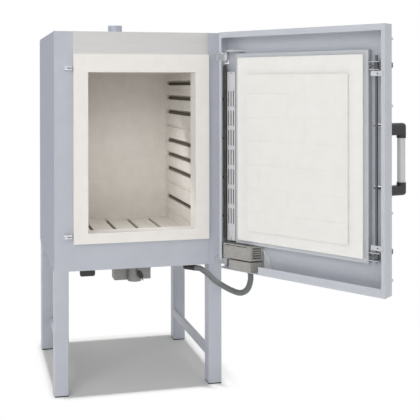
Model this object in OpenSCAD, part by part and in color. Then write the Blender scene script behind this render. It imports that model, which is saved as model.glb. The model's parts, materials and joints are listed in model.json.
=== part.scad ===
// Front-loading chamber kiln on a welded stand, with its door standing open.
// Millimetres, +Z up, +Y towards the back of the kiln.
// The origin is the middle of the front left foot's sole.

/* [Body] */
// Width of the casing
body_w = 750; // [700:10:900]
// Depth of the casing without the rear cover
body_d = 668; // [660:2:760]
// Height of the casing's top above the floor
body_top = 1570; // [1540:5:1700]
// Thickness of the folded steel sheet
sheet = 2; // [1.5:0.5:3]
// Width of the left front post
post_left_w = 82; // [74:1:100]
// Width of the right front post
post_right_w = 63; // [60:1:100]
// Height of the apron below the brick front
apron_h = 118; // [100:2:140]
// Height of the steel fascia above the brick front
fascia_h = 98; // [80:2:140]
// Depth of the return flanges of posts and apron
return_d = 60; // [40:5:80]
// Depth of the ventilated rear cover
cover_d = 24; // [16:2:60]
// Air gap between the casing and the brickwork
air_gap = 32; // [20:2:40]

/* [Stand] */
// Height of the stand from the floor to the casing
stand_h = 537; // [440:5:640]
// Width and depth of a leg
leg_w = 62; // [50:2:70]
// Wall of the stand's tubes
tube_wall = 3; // [2:0.5:4]
// Height of the lower edge of the side rails
rail_z = 118; // [90:5:240]
// Height of a side rail's tube
rail_h = 45; // [30:5:60]
// Width of a side rail's tube
rail_w = 20; // [16:2:40]
// Thickness of the pads under the legs
foot_h = 5; // [3:1:12]

/* [Chamber] */
// Width of the opening
opening_w = 480; // [440:5:560]
// Height of the opening
opening_h = 695; // [600:5:740]
// Height of the brick sill below the opening
sill_h = 44; // [30:2:60]
// How far the brick front stands proud of the posts
frame_proud = 18; // [10:1:24]
// Depth of the brick front
frame_d = 83; // [70:1:120]
// Width of the chamber between its side walls
chamber_w = 500; // [480:5:580]
// Depth of the chamber behind the brick front's face
chamber_d = 580; // [520:5:600]
// Drop of the chamber floor below the sill
floor_drop = 39; // [20:1:60]
// Number of groove rows in each side wall
groove_rows = 10; // [6:1:10]
// Pitch of the groove rows
groove_pitch = 71.5; // [60:0.5:72]
// Distance from the ceiling to the first groove row
groove_top = 47; // [40:1:50]
// Height of a groove
groove_h = 22; // [18:1:26]
// Depth of a groove
groove_d = 21; // [18:1:28]
// Distance from the brick front's back to the grooves' front ends
groove_front = 29; // [10:1:40]
// Length of a groove
groove_len = 441; // [400:1:450]
// Diameter of a wound heating element
element_dia = 14; // [12:0.5:16]
// Number of grooves in the floor
floor_grooves = 4; // [3:1:4]
// Pitch of the floor grooves
floor_pitch = 109; // [90:1:120]
// Distance from the left wall to the first floor groove
floor_inset = 72; // [50:1:90]
// Outer diameter of the exhaust stub
flue_dia = 72; // [50:1:90]
// Length of the exhaust stub above the roof
flue_h = 70; // [50:5:120]
// Distance from the casing's back to the exhaust stub's axis
flue_inset = 79; // [60:1:140]

/* [Door] */
// Angle at which the door stands open
door_angle = 126.5; // [0:0.5:150]
// How far the door reaches past the casing at the hinge side
door_over = 4; // [2:1:6]
// Depth of the door pan
pan_d = 62; // [54:1:80]
// Gap between the posts and the closed door
door_gap = 4; // [3:0.5:6]
// How far the closed door sits towards the hinges
door_shift = 4; // [0:1:5]
// Distance from the stand's top to the door's lower edge
door_lift = 3; // [2:1:8]
// Distance from the casing's top to the door's upper edge
door_drop = 3; // [0:1:10]
// Width of the return flange at the pan's free side
flange_side = 16; // [12:1:18]
// Width of the return flange at the pan's hinge side
flange_hinge = 12; // [10:1:16]
// Width of the return flange at the top of the pan
flange_top = 25; // [16:1:40]
// Width of the return flange at the bottom of the pan
flange_bottom = 34; // [16:1:38]
// Distance from the hinge pins to the posts' face
hinge_out = 56; // [50:1:60]
// Diameter of the hinge pins
hinge_pin_dia = 14; // [10:1:16]
// Height of a hinge bracket on the body
hinge_h = 30; // [24:1:40]
// Height of the lower hinge bracket above the stand
hinge_lower_z = 8; // [6:1:12]
// Distance from the casing's top to the upper hinge bracket's top
hinge_upper_drop = 94; // [90:1:110]
// Radial clearance of pins in their bores
pin_clearance = 0.05; // [0.02:0.01:0.1]
// Depth of the closed lining face behind the brick front's face
seal_gap = 2; // [1:0.5:4]
// Width of the folded lip round the lining
lining_lip = 17; // [12:1:24]
// How far the white lining stands proud of its steel collar
lining_proud = 13; // [8:1:16]
// How far the brick plug stands proud of the white lining
plug_proud = 14; // [8:1:20]
// Clearance of the plug in the opening at the sides
plug_gap = 10.5; // [8:0.5:20]
// Clearance of the plug below the lintel
plug_gap_top = 13; // [8:1:20]
// Clearance of the plug above the sill
plug_gap_bottom = 21; // [8:1:30]
// Height of a brick course in the plug
course_h = 100; // [64:1:114]
// Width of the mortar joints
joint_w = 1.2; // [0.8:0.2:3]
// Depth of the mortar joints
joint_d = 1; // [0.5:0.5:3]

/* [Latch] */
// Distance from the door's free edge to the latch rod
rod_inset = 46.5; // [42:0.5:48]
// Distance from the posts' face to the closed door's latch rod
rod_out = 35; // [34:0.5:36]
// Diameter of the latch rod
rod_dia = 10; // [8:1:12]
// Angle through which the handle turns to latch
latch_turn = 30; // [28:1:32]
// Height of the upper catch above the floor
catch_upper_z = 1410; // [1380:5:1420]
// Height of the lower catch above the floor
catch_lower_z = 688; // [680:2:720]
// Width of a catch
catch_w = 35; // [30:1:36]
// Height of a catch
catch_h = 14; // [12:1:18]
// Diameter of a catch's pin
catch_pin_dia = 8; // [6:1:8]
// Thickness of a claw
claw_t = 6; // [4:0.5:6]
// Angle at which the unlatched handle points past the door's normal
handle_lean = 25; // [20:1:30]
// Distance from the latch rod to the handle tube
handle_reach = 120; // [110:1:150]
// Diameter of the handle tube
handle_dia = 30; // [25:1:32]
// Height of the upper handle bracket
bracket_upper_h = 46; // [36:2:60]
// Height of the lower handle bracket
bracket_lower_h = 38; // [36:2:50]
// Height of the handle's middle above the floor
handle_mid_z = 1052; // [1000:2:1100]
// Distance between the outer faces of the two brackets
handle_span = 278; // [240:2:340]

/* [Services] */
// Diameter of the hose
hose_dia = 25; // [25:1:25]
// Width of the terminal boxes' front
box_w = 137; // [110:1:140]
// Height of the upper terminal box
box_upper_h = 62; // [50:1:64]
// Height of the lower terminal box
box_lower_h = 41; // [30:1:42]
// Length of a slot in the wiring cover
slot_len = 67; // [50:1:70]
// Pitch of the slots in the wiring cover
slot_pitch = 85; // [80:1:90]
// Width of the grip of the air slider
grip_w = 66; // [50:2:80]
// Height of the grip of the air slider
grip_h = 25; // [20:1:30]
// Outer diameter of the air inlet's throat
throat_dia = 63; // [50:1:70]
// Depth of the air inlet below the casing
duct_h = 89; // [70:1:110]

/* [Hidden] */

$fn = 48;
eps = 0.01;

// Body places, measured from the front left corner of the casing
frame_x0 = post_left_w;
frame_x1 = body_w - post_right_w;
frame_w = frame_x1 - frame_x0;
frame_z0 = stand_h + apron_h;
frame_z1 = body_top - fascia_h;
opening_x0 = frame_x0 + (frame_w - opening_w) / 2;
opening_x1 = opening_x0 + opening_w;
opening_z0 = frame_z0 + sill_h;
opening_z1 = opening_z0 + opening_h;
chamber_x0 = opening_x0 - (chamber_w - opening_w) / 2;
chamber_x1 = chamber_x0 + chamber_w;
chamber_y0 = frame_d - frame_proud;
chamber_y1 = chamber_d - frame_proud;
chamber_z0 = opening_z0 - floor_drop;
brick_x0 = sheet + air_gap;
brick_x1 = body_w - brick_x0;
brick_y1 = body_d - sheet - air_gap / 2;
brick_top = frame_z1 + 46;
tray_flange = 30;
leg_d = leg_w;
leg_round = 6;

// Door places, measured with the door closed
pan_x0 = door_shift;
pan_x1 = body_w + door_over;
rim_y = -door_gap;
skin_y = rim_y - pan_d;
floor_y = skin_y + sheet;
pan_z0 = stand_h + door_lift;
pan_z1 = body_top - door_drop;
hinge_x = pan_x1 - 1;
hinge_y = -hinge_out;
lining_y = -frame_proud - seal_gap;
collar_y = lining_y - lining_proud;
plug_y = lining_y + plug_proud;
plug_x0 = opening_x0 + plug_gap;
plug_x1 = opening_x1 - plug_gap;
plug_z0 = opening_z0 + plug_gap_bottom;
plug_z1 = opening_z1 - plug_gap_top;

// Hinge places
hinge_upper_z = body_top - hinge_upper_drop - hinge_h;
hinge_low_z = stand_h + hinge_lower_z;
bracket_gap = 0.3;
arm_t = 8;
spacer_t = 6;
barrel_r = 12;
notch_w = 18;
notch_play = 2;
pin_tail = 13;
stay_inset = 9;
stay_hole = 28;

// Latch places
rod_x = pan_x0 + rod_inset;
rod_y = -rod_out;
catch_t = 3;
catch_pin_out = 16;
catch_side = 10;
claw_hub_r = 9;
claw_in_r = rod_out - catch_pin_out + catch_pin_dia / 2 + 1;
claw_out_r = claw_in_r + 6;
claw_hub_h = 25.5;
claw_arm_w = 6.5;
bearing_h = 32.5;
bearing_t = 3;
bearing_half_w = 19.5;
bearing_out = 12;
plate_t = 5;
plate_w = 22;

// Points of the hose's free run, chosen by hand, between its two glands
hose_run = [
    [675, -27, 503], [700, -54, 478], [735, -90, 456], [760, -117, 445],
    [784, -143, 441], [803, -162, 453], [814, -174, 476],
];
hose_sides = 10;

// Puts pieces of the body at their place over the origin
module on_body() {
    translate([-leg_w / 2, -leg_d / 2, 0])
        children();
}

// Turns pieces of the closed door about the hinge pins to where the door stands
module on_door() {
    on_body()
        translate([hinge_x, hinge_y, 0])
            rotate([0, 0, door_angle])
                translate([-hinge_x, -hinge_y, 0])
                    children();
}

// Puts latch pieces on the rod's axis, with +X along the handle's arms
module on_latch() {
    on_door()
        translate([rod_x, rod_y, 0])
            rotate([0, 0, -90 - handle_lean])
                children();
}

// A box between two corners
module block(low, high) {
    translate(low)
        cube([high[0] - low[0], high[1] - low[1], high[2] - low[2]]);
}

// A rectangle with round corners, centred on the origin
module round_rect(w, h, r) {
    square([w, h - 2 * r], center = true);
    square([w - 2 * r, h], center = true);
    for (sx = [-1, 1], sy = [-1, 1]) {
        translate([sx * (w / 2 - r), sy * (h / 2 - r)])
            circle(r = r);
    }
}

// A rectangular tube with round corners that stands on the floor plane
module tube(w, d, h, wall, r) {
    linear_extrude(h)
        difference() {
            round_rect(w, d, r);
            round_rect(w - 2 * wall, d - 2 * wall, r - wall);
        }
}

// Side panel of the casing, at the place given
module side_panel(x) {
    color([0.64, 0.66, 0.70])
        on_body()
            block([x, sheet, stand_h], [x + sheet, body_d, body_top - sheet]);
}

module side_left() side_panel(0);
module side_right() side_panel(body_w - sheet);

// Roof panel, with the hole below the exhaust stub
module roof_panel() {
    color([0.64, 0.66, 0.70])
        on_body()
            difference() {
                block([0, sheet, body_top - sheet], [body_w, body_d, body_top]);
                translate([body_w / 2, body_d - flue_inset, body_top - 2 * sheet])
                    cylinder(d = flue_dia - 8, h = 4 * sheet);
            }
}

// Back panel between the side panels
module back_panel() {
    color([0.64, 0.66, 0.70])
        on_body()
            block([sheet, body_d - sheet, stand_h], [body_w - sheet, body_d, body_top - sheet]);
}

// Shallow ventilated cover on the back, with two columns of slots
module rear_cover() {
    low = stand_h + 8;
    rows = 9;
    slot_w = 230;
    color([0.62, 0.64, 0.68])
        on_body()
            difference() {
                block([0, body_d, low], [body_w, body_d + cover_d, body_top - 4]);
                block([sheet, body_d - 1, low + sheet],
                    [body_w - sheet, body_d + cover_d - sheet, body_top - 4 - sheet]);
                for (column = [0, 1], row = [0:rows - 1]) {
                    translate([body_w / 4 - slot_w / 2 + column * body_w / 2, body_d + cover_d - 2 * sheet,
                        low + 90 + row * 26])
                        cube([slot_w, 3 * sheet, 8]);
                }
            }
}

// Folded front post: a face and one return along the brickwork
module post(width, inner_on_right) {
    block([0, 0, stand_h], [width, sheet, body_top]);
    inner_x = inner_on_right ? width - sheet : 0;
    block([inner_x, 0, stand_h], [inner_x + sheet, return_d, body_top - sheet]);
}

module post_left() {
    color([0.69, 0.72, 0.76])
        on_body()
            post(post_left_w, true);
}

module post_right() {
    color([0.69, 0.72, 0.76])
        on_body()
            translate([frame_x1, 0, 0])
                post(post_right_w, false);
}

// Apron below the brick front, folded back above and below
module apron() {
    color([0.69, 0.72, 0.76])
        on_body() {
            block([frame_x0, 0, stand_h], [frame_x1, sheet, frame_z0]);
            block([frame_x0, 0, frame_z0 - sheet], [frame_x1, return_d, frame_z0]);
            block([frame_x0, 0, stand_h], [frame_x1, return_d, stand_h + sheet]);
        }
}

// Brushed fascia above the brick front, with a folded drip edge
module fascia() {
    color([0.80, 0.80, 0.79])
        on_body() {
            block([frame_x0, 0, frame_z1], [frame_x1, sheet, body_top]);
            block([frame_x0, 0, frame_z1], [frame_x1, return_d / 2, frame_z1 + sheet]);
            block([frame_x0, -sheet, frame_z1], [frame_x1, 0, frame_z1 + 12]);
        }
}

// Tray that carries the brickwork and closes the casing below
module base_tray() {
    x0 = sheet;
    x1 = body_w - sheet;
    y1 = body_d - sheet;
    color([0.58, 0.60, 0.63])
        on_body() {
            block([x0, return_d, stand_h], [x1, y1, stand_h + sheet]);
            for (x = [x0, x1 - sheet])
                block([x, return_d, stand_h], [x + sheet, y1, stand_h + tray_flange]);
            block([x0, y1 - sheet, stand_h], [x1, y1, stand_h + tray_flange]);
        }
}

// One leg of the stand, with its middle at the place given
module leg(x, y) {
    color([0.68, 0.70, 0.74])
        on_body()
            translate([x, y, foot_h])
                tube(leg_w, leg_d, stand_h - foot_h, tube_wall, leg_round);
}

leg_x = [leg_w / 2, body_w - leg_w / 2];
leg_y = [leg_d / 2, body_d - leg_d / 2];

module leg_front_left() leg(leg_x[0], leg_y[0]);
module leg_front_right() leg(leg_x[1], leg_y[0]);
module leg_rear_left() leg(leg_x[0], leg_y[1]);
module leg_rear_right() leg(leg_x[1], leg_y[1]);

// Side rail between a front and a rear leg
module rail(x) {
    color([0.66, 0.68, 0.72])
        on_body()
            translate([x, leg_d, rail_z + rail_h / 2])
                rotate([-90, 0, 0])
                    tube(rail_w, rail_h, body_d - 2 * leg_d, tube_wall, leg_round);
}

module rail_left() rail(leg_w - rail_w / 2);
module rail_right() rail(body_w - leg_w + rail_w / 2);

// Pads under the four legs
module feet() {
    color([0.20, 0.20, 0.21])
        on_body()
            for (x = leg_x, y = leg_y)
                translate([x, y, 0])
                    linear_extrude(foot_h)
                        round_rect(leg_w - 2, leg_d - 2, leg_round);
}

// A mortar joint cut across a face that looks along -Y
module face_joint(x0, x1, z) {
    block([x0 - 1, -frame_proud - 1, z - joint_w / 2],
        [x1 + 1, -frame_proud + joint_d, z + joint_w / 2]);
}

module frame_sill() {
    color([0.90, 0.88, 0.85])
        on_body()
            block([frame_x0, -frame_proud, frame_z0], [frame_x1, chamber_y0, opening_z0]);
}

module frame_lintel() {
    color([0.90, 0.88, 0.85])
        on_body()
            block([frame_x0, -frame_proud, opening_z1], [frame_x1, chamber_y0, frame_z1]);
}

// Jamb beside the opening, with one mortar joint
module jamb(x0, x1) {
    joint_z = opening_z1 - 109;
    color([0.90, 0.88, 0.85])
        on_body()
            difference() {
                block([x0, -frame_proud, opening_z0], [x1, chamber_y0, opening_z1]);
                face_joint(x0, x1, joint_z);
            }
}

module jamb_left() jamb(frame_x0, opening_x0);
module jamb_right() jamb(opening_x1, frame_x1);

// Rows with an element; the others stay empty and are cut shallower
element_rows = [0, 1, 2, 4, 5, 6, 8];
empty_d = 6;
empty_h = 10;

function row_z(row) = opening_z1 - groove_top - row * groove_pitch;
function has_element(row) = len([for (r = element_rows) if (r == row) r]) > 0;

// Grooved side wall, drawn as the left one; the right one is its mirror image
module side_wall() {
    t = chamber_x0 - brick_x0;
    difference() {
        block([0, 0, chamber_z0], [t, chamber_y1 - chamber_y0, opening_z1]);
        for (row = [0:groove_rows - 1]) {
            h = has_element(row) ? groove_h : empty_h;
            d = has_element(row) ? groove_d : empty_d;
            translate([t - d, groove_front, row_z(row) - h / 2])
                cube([d + 1, groove_len, h]);
        }
    }
}

// Wound rods that lie in the grooves of one side wall
module side_elements() {
    t = chamber_x0 - brick_x0;
    r = element_dia / 2;
    for (row = element_rows)
        if (row < groove_rows)
            translate([t - groove_d + r + 1, groove_front + 2, row_z(row) - groove_h / 2 + r])
                rotate([-90, 0, 0])
                    cylinder(r = r, h = groove_len - 4);
}

// Puts a left-hand side piece at the left wall
module at_left_wall() {
    on_body()
        translate([brick_x0, chamber_y0, 0])
            children();
}

// Puts the mirror image of a left-hand side piece at the right wall
module at_right_wall() {
    on_body()
        translate([chamber_x1 + chamber_x0 - brick_x0, chamber_y0, 0])
            mirror([1, 0, 0])
                children();
}

module wall_left() color([0.78, 0.74, 0.69]) at_left_wall() side_wall();
module wall_right() color([0.78, 0.74, 0.69]) at_right_wall() side_wall();
module elements_left() color([0.33, 0.32, 0.28]) at_left_wall() side_elements();
module elements_right() color([0.33, 0.32, 0.28]) at_right_wall() side_elements();

module wall_back() {
    color([0.76, 0.72, 0.67])
        on_body()
            block([brick_x0, chamber_y1, chamber_z0],
                [chamber_x1 + chamber_x0 - brick_x0, brick_y1, opening_z1]);
}

floor_groove_w = 16;
floor_groove_d = 20;
function floor_groove_x(i) = chamber_x0 + floor_inset + i * floor_pitch;

module floor_bricks() {
    color([0.77, 0.73, 0.68])
        on_body()
            difference() {
                block([brick_x0, chamber_y0, stand_h + sheet],
                    [chamber_x1 + chamber_x0 - brick_x0, brick_y1, chamber_z0]);
                for (i = [0:floor_grooves - 1])
                    translate([floor_groove_x(i) - floor_groove_w / 2, chamber_y0 + groove_front,
                        chamber_z0 - floor_groove_d])
                        cube([floor_groove_w, groove_len, floor_groove_d + 1]);
            }
}

module elements_floor() {
    color([0.33, 0.32, 0.28])
        on_body()
            for (i = [0:floor_grooves - 1])
                translate([floor_groove_x(i), chamber_y0 + groove_front + 2,
                    chamber_z0 - floor_groove_d + element_dia / 2])
                    rotate([-90, 0, 0])
                        cylinder(d = element_dia, h = groove_len - 4);
}

module roof_bricks() {
    color([0.79, 0.76, 0.72])
        on_body()
            difference() {
                block([brick_x0, chamber_y0, opening_z1],
                    [chamber_x1 + chamber_x0 - brick_x0, brick_y1, brick_top]);
                translate([body_w / 2, body_d - flue_inset - 40, opening_z1 - 1])
                    cylinder(r = 18, h = brick_top - opening_z1 + 2);
            }
}

// Exhaust stub: a thin pipe on a round flange
module flue_stub() {
    flange_t = 3;
    color([0.78, 0.78, 0.77])
        on_body()
            translate([body_w / 2, body_d - flue_inset, body_top])
                difference() {
                    union() {
                        cylinder(d = flue_dia, h = flue_h, $fn = 96);
                        cylinder(d = flue_dia + 36, h = flange_t, $fn = 96);
                    }
                    translate([0, 0, -1])
                        cylinder(d = flue_dia - 4, h = flue_h + 2, $fn = 96);
                }
}

// Catch on the left post: a forked lug with an upright pin
module catch(z) {
    reach = catch_pin_out + catch_pin_dia / 2 + 1.5;
    tine = (catch_h - claw_t - 1) / 2;
    color([0.72, 0.73, 0.75])
        on_body()
            translate([rod_x, 0, z - catch_h / 2]) {
                difference() {
                    block([-catch_side, -reach, 0], [catch_w - catch_side, 0, catch_h]);
                    block([-catch_w, -reach - 1, tine], [catch_w, -catch_t, catch_h - tine]);
                }
                translate([0, -catch_pin_out, tine / 2])
                    cylinder(d = catch_pin_dia, h = catch_h - tine);
            }
}

module catches() {
    catch(catch_upper_z);
    catch(catch_lower_z);
}

// Hinge bracket on the right post: a foot, a bar and a barrel with its bore
module hinge_bracket(z) {
    foot_w = 28;
    foot_t = 8;
    bar_w = 13;
    foot_x = body_w - foot_w;
    color([0.70, 0.72, 0.75])
        on_body()
            translate([0, 0, z])
                difference() {
                    union() {
                        block([foot_x, -foot_t, 0], [body_w, 0, hinge_h]);
                        linear_extrude(hinge_h)
                            polygon([
                                [body_w - bar_w - 8, -foot_t / 2],
                                [body_w - 4, -foot_t / 2],
                                [hinge_x + bar_w / 2 - 1, hinge_y],
                                [hinge_x - bar_w / 2 - 1, hinge_y],
                            ]);
                        translate([hinge_x, hinge_y, 0])
                            cylinder(r = barrel_r, h = hinge_h, $fn = 64);
                    }
                    translate([hinge_x, hinge_y, -1])
                        cylinder(r = hinge_pin_dia / 2 + pin_clearance, h = hinge_h + 2, $fn = 64);
                }
}

module hinge_bracket_upper() hinge_bracket(hinge_upper_z);
module hinge_bracket_lower() hinge_bracket(hinge_low_z);

// Air inlet under the floor: a sheet box with a round throat in front
duct_x = 380;
duct_y = 142;
duct_w = 168;
duct_box_d = 70;
lever_x = duct_x + 16;
lever_z = stand_h - 53;

module air_duct() {
    color([0.66, 0.66, 0.66])
        on_body()
            difference() {
                union() {
                    block([duct_x - 89, duct_y + 14, stand_h - duct_h],
                        [duct_x - 89 + duct_w, duct_y + 14 + duct_box_d, stand_h]);
                    translate([duct_x, duct_y, stand_h - duct_h])
                        cylinder(d = throat_dia, h = duct_h);
                    translate([lever_x, duct_y - 36, lever_z])
                        rotate([-90, 0, 0])
                            cylinder(d = 12, h = 30);
                }
                translate([duct_x, duct_y, stand_h - duct_h - 1])
                    cylinder(d = throat_dia - 5, h = duct_h - sheet);
                block([duct_x - 87, duct_y + 34, stand_h - duct_h - 1],
                    [duct_x - 91 + duct_w, duct_y + 12 + duct_box_d, stand_h - sheet]);
                translate([lever_x, duct_y - 37, lever_z])
                    rotate([-90, 0, 0])
                        cylinder(d = 6 + 2 * pin_clearance, h = 60);
            }
}

// Throttle lever: a bent wire on a shaft that turns in the throat's boss
lever_tilt = 62;

module on_lever() {
    on_body()
        translate([lever_x, duct_y - 36, lever_z])
            children();
}

module damper_lever() {
    color([0.45, 0.45, 0.45])
        on_lever() {
            translate([0, -6, 0])
                rotate([-90, 0, 0])
                    cylinder(d = 6, h = 32);
            rotate([0, lever_tilt, 0])
                translate([-28, -6, 0])
                    rotate([0, 90, 0])
                        cylinder(d = 5, h = 60);
        }
}

// Oval knob on the front of the lever
module damper_knob() {
    color([0.12, 0.12, 0.12])
        on_lever()
            rotate([90, lever_tilt, 0])
                translate([0, 0, 8.5]) {
                    linear_extrude(10)
                        union() {
                            square([12, 22], center = true);
                            for (s = [-1, 1])
                                translate([6 * s, 0])
                                    circle(r = 11);
                        }
                }
}

// Elbow gland under the tray, from which the hose leaves
gland_x = 598;
gland_y = 54;
gland_z = 520;
gland_r = 13;
gland_len = 50;
gland_turn = -46;
gland_end = [
    gland_x + gland_len * cos(gland_turn),
    gland_y + gland_len * sin(gland_turn),
    gland_z,
];
gland_lead = hose_dia * [cos(gland_turn), sin(gland_turn), 0];

module hose_gland() {
    color([0.13, 0.13, 0.13])
        on_body()
            translate([gland_x, gland_y, gland_z]) {
                cylinder(r = gland_r, h = stand_h - gland_z);
                sphere(r = gland_r);
                rotate([0, 90, gland_turn])
                    cylinder(r = gland_r, h = gland_len);
            }
}

// Air slider under the front edge: a plate in two guides, with a black grip
slider_x = 145;
slider_y0 = 22;
slider_len = 150;
slider_w = 60;
slider_t = 3;

module slider_plate() {
    color([0.66, 0.67, 0.68])
        on_body()
            block([slider_x - slider_w / 2, slider_y0, stand_h - 0.3 - slider_t],
                [slider_x + slider_w / 2, slider_y0 + slider_len, stand_h - 0.3]);
}

module slider_grip() {
    color([0.13, 0.13, 0.13])
        on_body()
            translate([slider_x, slider_y0, stand_h - 2 - grip_h])
                rotate([90, 0, 0])
                    linear_extrude(12)
                        polygon([
                            [-grip_w / 2 + 4, 0], [grip_w / 2 - 4, 0],
                            [grip_w / 2, 6], [grip_w / 2, grip_h],
                            [-grip_w / 2, grip_h], [-grip_w / 2, 6],
                        ]);
}

// Angle guides on both sides of the slider plate
module slider_guides() {
    play = 0.4;
    color([0.62, 0.63, 0.65])
        on_body()
            for (side = [-1, 1])
                translate([slider_x + side * (slider_w / 2 + play), return_d + 4, stand_h])
                    rotate([-90, 0, 0])
                        linear_extrude(slider_len - return_d)
                            polygon([
                                [0, 0], [side * 14, 0], [side * 14, 5.5], [-side * 8, 5.5],
                                [-side * 8, 3.8], [0, 3.8],
                            ]);
}

// Cut-out in the pan's corner for a hinge
module hinge_notch(z, tail, top) {
    block([pan_x1 - notch_w, floor_y, z - notch_play], [pan_x1 + 1, rim_y + 1, z + hinge_h + notch_play]);
    translate([hinge_x, hinge_y, z - tail - notch_play])
        cylinder(r = barrel_r + 0.6, h = top - z + tail + 2 * notch_play);
}

hinge_upper_top = hinge_upper_z + hinge_h + spacer_t + arm_t;
hinge_low_top = hinge_low_z + hinge_h + bracket_gap + arm_t;
arm_plate_z = [handle_mid_z + handle_span / 2 - 8, handle_mid_z - handle_span / 2 + 33];
box_x1 = pan_x1 - flange_side - 3;
box_x0 = box_x1 - box_w;
box_slope = 34;
flange_stop = 41;
box_lower_x1 = box_x0 + 109;
box_lower_z0 = pan_z0 + sheet + bracket_gap;
box_upper_z0 = box_lower_z0 + box_lower_h + 6;
box_front_y = rim_y - 4;

// Folded door pan with its return flange, open towards the kiln
module door_pan() {
    color([0.68, 0.71, 0.75])
        on_door()
            difference() {
                block([pan_x0, skin_y, pan_z0], [pan_x1, rim_y, pan_z1]);
                block([pan_x0 + sheet, floor_y, pan_z0 + sheet],
                    [pan_x1 - sheet, rim_y - sheet, pan_z1 - sheet]);
                block([pan_x0 + flange_side, rim_y - 2 * sheet, pan_z0 + flange_bottom],
                    [pan_x1 - flange_hinge, rim_y + 1, pan_z1 - flange_top]);
                block([box_x0 - flange_stop, rim_y - 2 * sheet, pan_z0 + sheet],
                    [pan_x1 - flange_hinge, rim_y + 1, pan_z0 + flange_bottom + 1]);
                hinge_notch(hinge_upper_z, pin_tail, hinge_upper_top);
                hinge_notch(hinge_low_z, 0, hinge_low_top);
                translate([door_hose_x, door_hose_y, pan_z0 - 1])
                    cylinder(r = 11, h = 2 * sheet + 2);
                for (z = arm_plate_z)
                    block([rod_x - 30, skin_y - 1, z - plate_t / 2 - 3],
                        [rod_x + 20, floor_y + 1, z + plate_t / 2 + 3]);
            }
}

// Where the hose meets the closed door's lower edge, and where that is now
door_hose_x = 614;
door_hose_y = -36;
door_gland_h = 8;
hose_end = [
    hinge_x + (door_hose_x - hinge_x) * cos(door_angle) - (door_hose_y - hinge_y) * sin(door_angle),
    hinge_y + (door_hose_x - hinge_x) * sin(door_angle) + (door_hose_y - hinge_y) * cos(door_angle),
    pan_z0 - door_gland_h,
];

// Folded steel collar round the lining, with an inward lip
module door_collar() {
    color([0.74, 0.77, 0.81])
        on_door()
            difference() {
                block([frame_x0, floor_y, frame_z0], [frame_x1, collar_y, frame_z1]);
                block([frame_x0 + sheet, floor_y - 1, frame_z0 + sheet],
                    [frame_x1 - sheet, collar_y - sheet, frame_z1 - sheet]);
                block([frame_x0 + lining_lip, floor_y - 1, frame_z0 + lining_lip],
                    [frame_x1 - lining_lip, collar_y + 1, frame_z1 - lining_lip]);
            }
}

// White lining: a slab held by the collar and a face that stands proud of it
module door_fibre() {
    color([0.92, 0.91, 0.89])
        on_door() {
            block([frame_x0 + sheet, floor_y, frame_z0 + sheet],
                [frame_x1 - sheet, collar_y - sheet, frame_z1 - sheet]);
            block([frame_x0 + lining_lip, collar_y - sheet - eps, frame_z0 + lining_lip],
                [frame_x1 - lining_lip, lining_y, frame_z1 - lining_lip]);
        }
}

// Distance of the upright joints from the plug's free side, course by course from the top
plug_joints = [[186], [52, 259], [182], [259], [393], [259], [398]];
top_course_h = 79;

function course_z(i) = plug_z1 - top_course_h - (i - 1) * course_h;

// Brick plug laid in running bond, with sunk mortar joints
module door_plug() {
    courses = len(plug_joints);
    y0 = plug_y - joint_d;
    color([0.91, 0.90, 0.88])
        on_door()
            difference() {
                block([plug_x0, lining_y, plug_z0], [plug_x1, plug_y, plug_z1]);
                for (i = [1:courses - 1])
                    block([plug_x0 - 1, y0, course_z(i) - joint_w / 2],
                        [plug_x1 + 1, plug_y + 1, course_z(i) + joint_w / 2]);
                for (i = [0:courses - 1], x = plug_joints[i]) {
                    z_top = i == 0 ? plug_z1 + 1 : course_z(i);
                    z_low = i == courses - 1 ? plug_z0 - 1 : course_z(i + 1);
                    block([plug_x0 + x - joint_w / 2, y0, z_low], [plug_x0 + x + joint_w / 2, plug_y + 1, z_top]);
                }
            }
}

// Slotted channel that covers the wiring beside the lining
cover_w = 42;
cover_x0 = frame_x1 + 3;
cover_z0 = frame_z0 + 6;
cover_z1 = frame_z1 - 77;
slot_groups = 7;
slot_w = 4;
slot_columns = [9, 22, 35];
slot_first_z = cover_z1 - 84;

module wiring_cover() {
    wall = 1.5;
    color([0.80, 0.79, 0.82])
        on_door()
            difference() {
                block([cover_x0, floor_y, cover_z0], [cover_x0 + cover_w, collar_y, cover_z1]);
                block([cover_x0 + wall, floor_y - 1, cover_z0 + wall],
                    [cover_x0 + cover_w - wall, collar_y - wall, cover_z1 - wall]);
                for (x = slot_columns, i = [0:slot_groups - 1])
                    block([cover_x0 + x - slot_w / 2, collar_y - 3, slot_first_z - i * slot_pitch - slot_len],
                        [cover_x0 + x + slot_w / 2, collar_y + 1, slot_first_z - i * slot_pitch]);
            }
}

// Upper terminal cover, with slots along its top edge and louvres at its side
module box_plan(x1, wall) {
    back_y = wall > 0 ? floor_y - 1 : floor_y;
    polygon([
        [box_x0 - box_slope + 2 * wall, back_y], [x1 - wall, back_y],
        [x1 - wall, box_front_y - wall], [box_x0 + wall, box_front_y - wall],
    ]);
}

module terminal_box_upper() {
    wall = 1.5;
    z1 = box_upper_z0 + box_upper_h;
    color([0.66, 0.65, 0.65])
        on_door()
            difference() {
                translate([0, 0, box_upper_z0])
                    linear_extrude(box_upper_h)
                        box_plan(box_x1, 0);
                translate([0, 0, box_upper_z0 + wall])
                    linear_extrude(box_upper_h - 2 * wall)
                        box_plan(box_x1, wall);
                for (i = [0:3])
                    block([box_x0 + 20 + i * 28, box_front_y - 3, z1 - 7],
                        [box_x0 + 42 + i * 28, box_front_y + 1, z1 - 4]);
                for (i = [0:4])
                    block([box_x0 - box_slope, box_front_y - 44, z1 - 12 - i * 10],
                        [box_x0 + 1, box_front_y - 9, z1 - 7 - i * 10]);
            }
}

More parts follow.
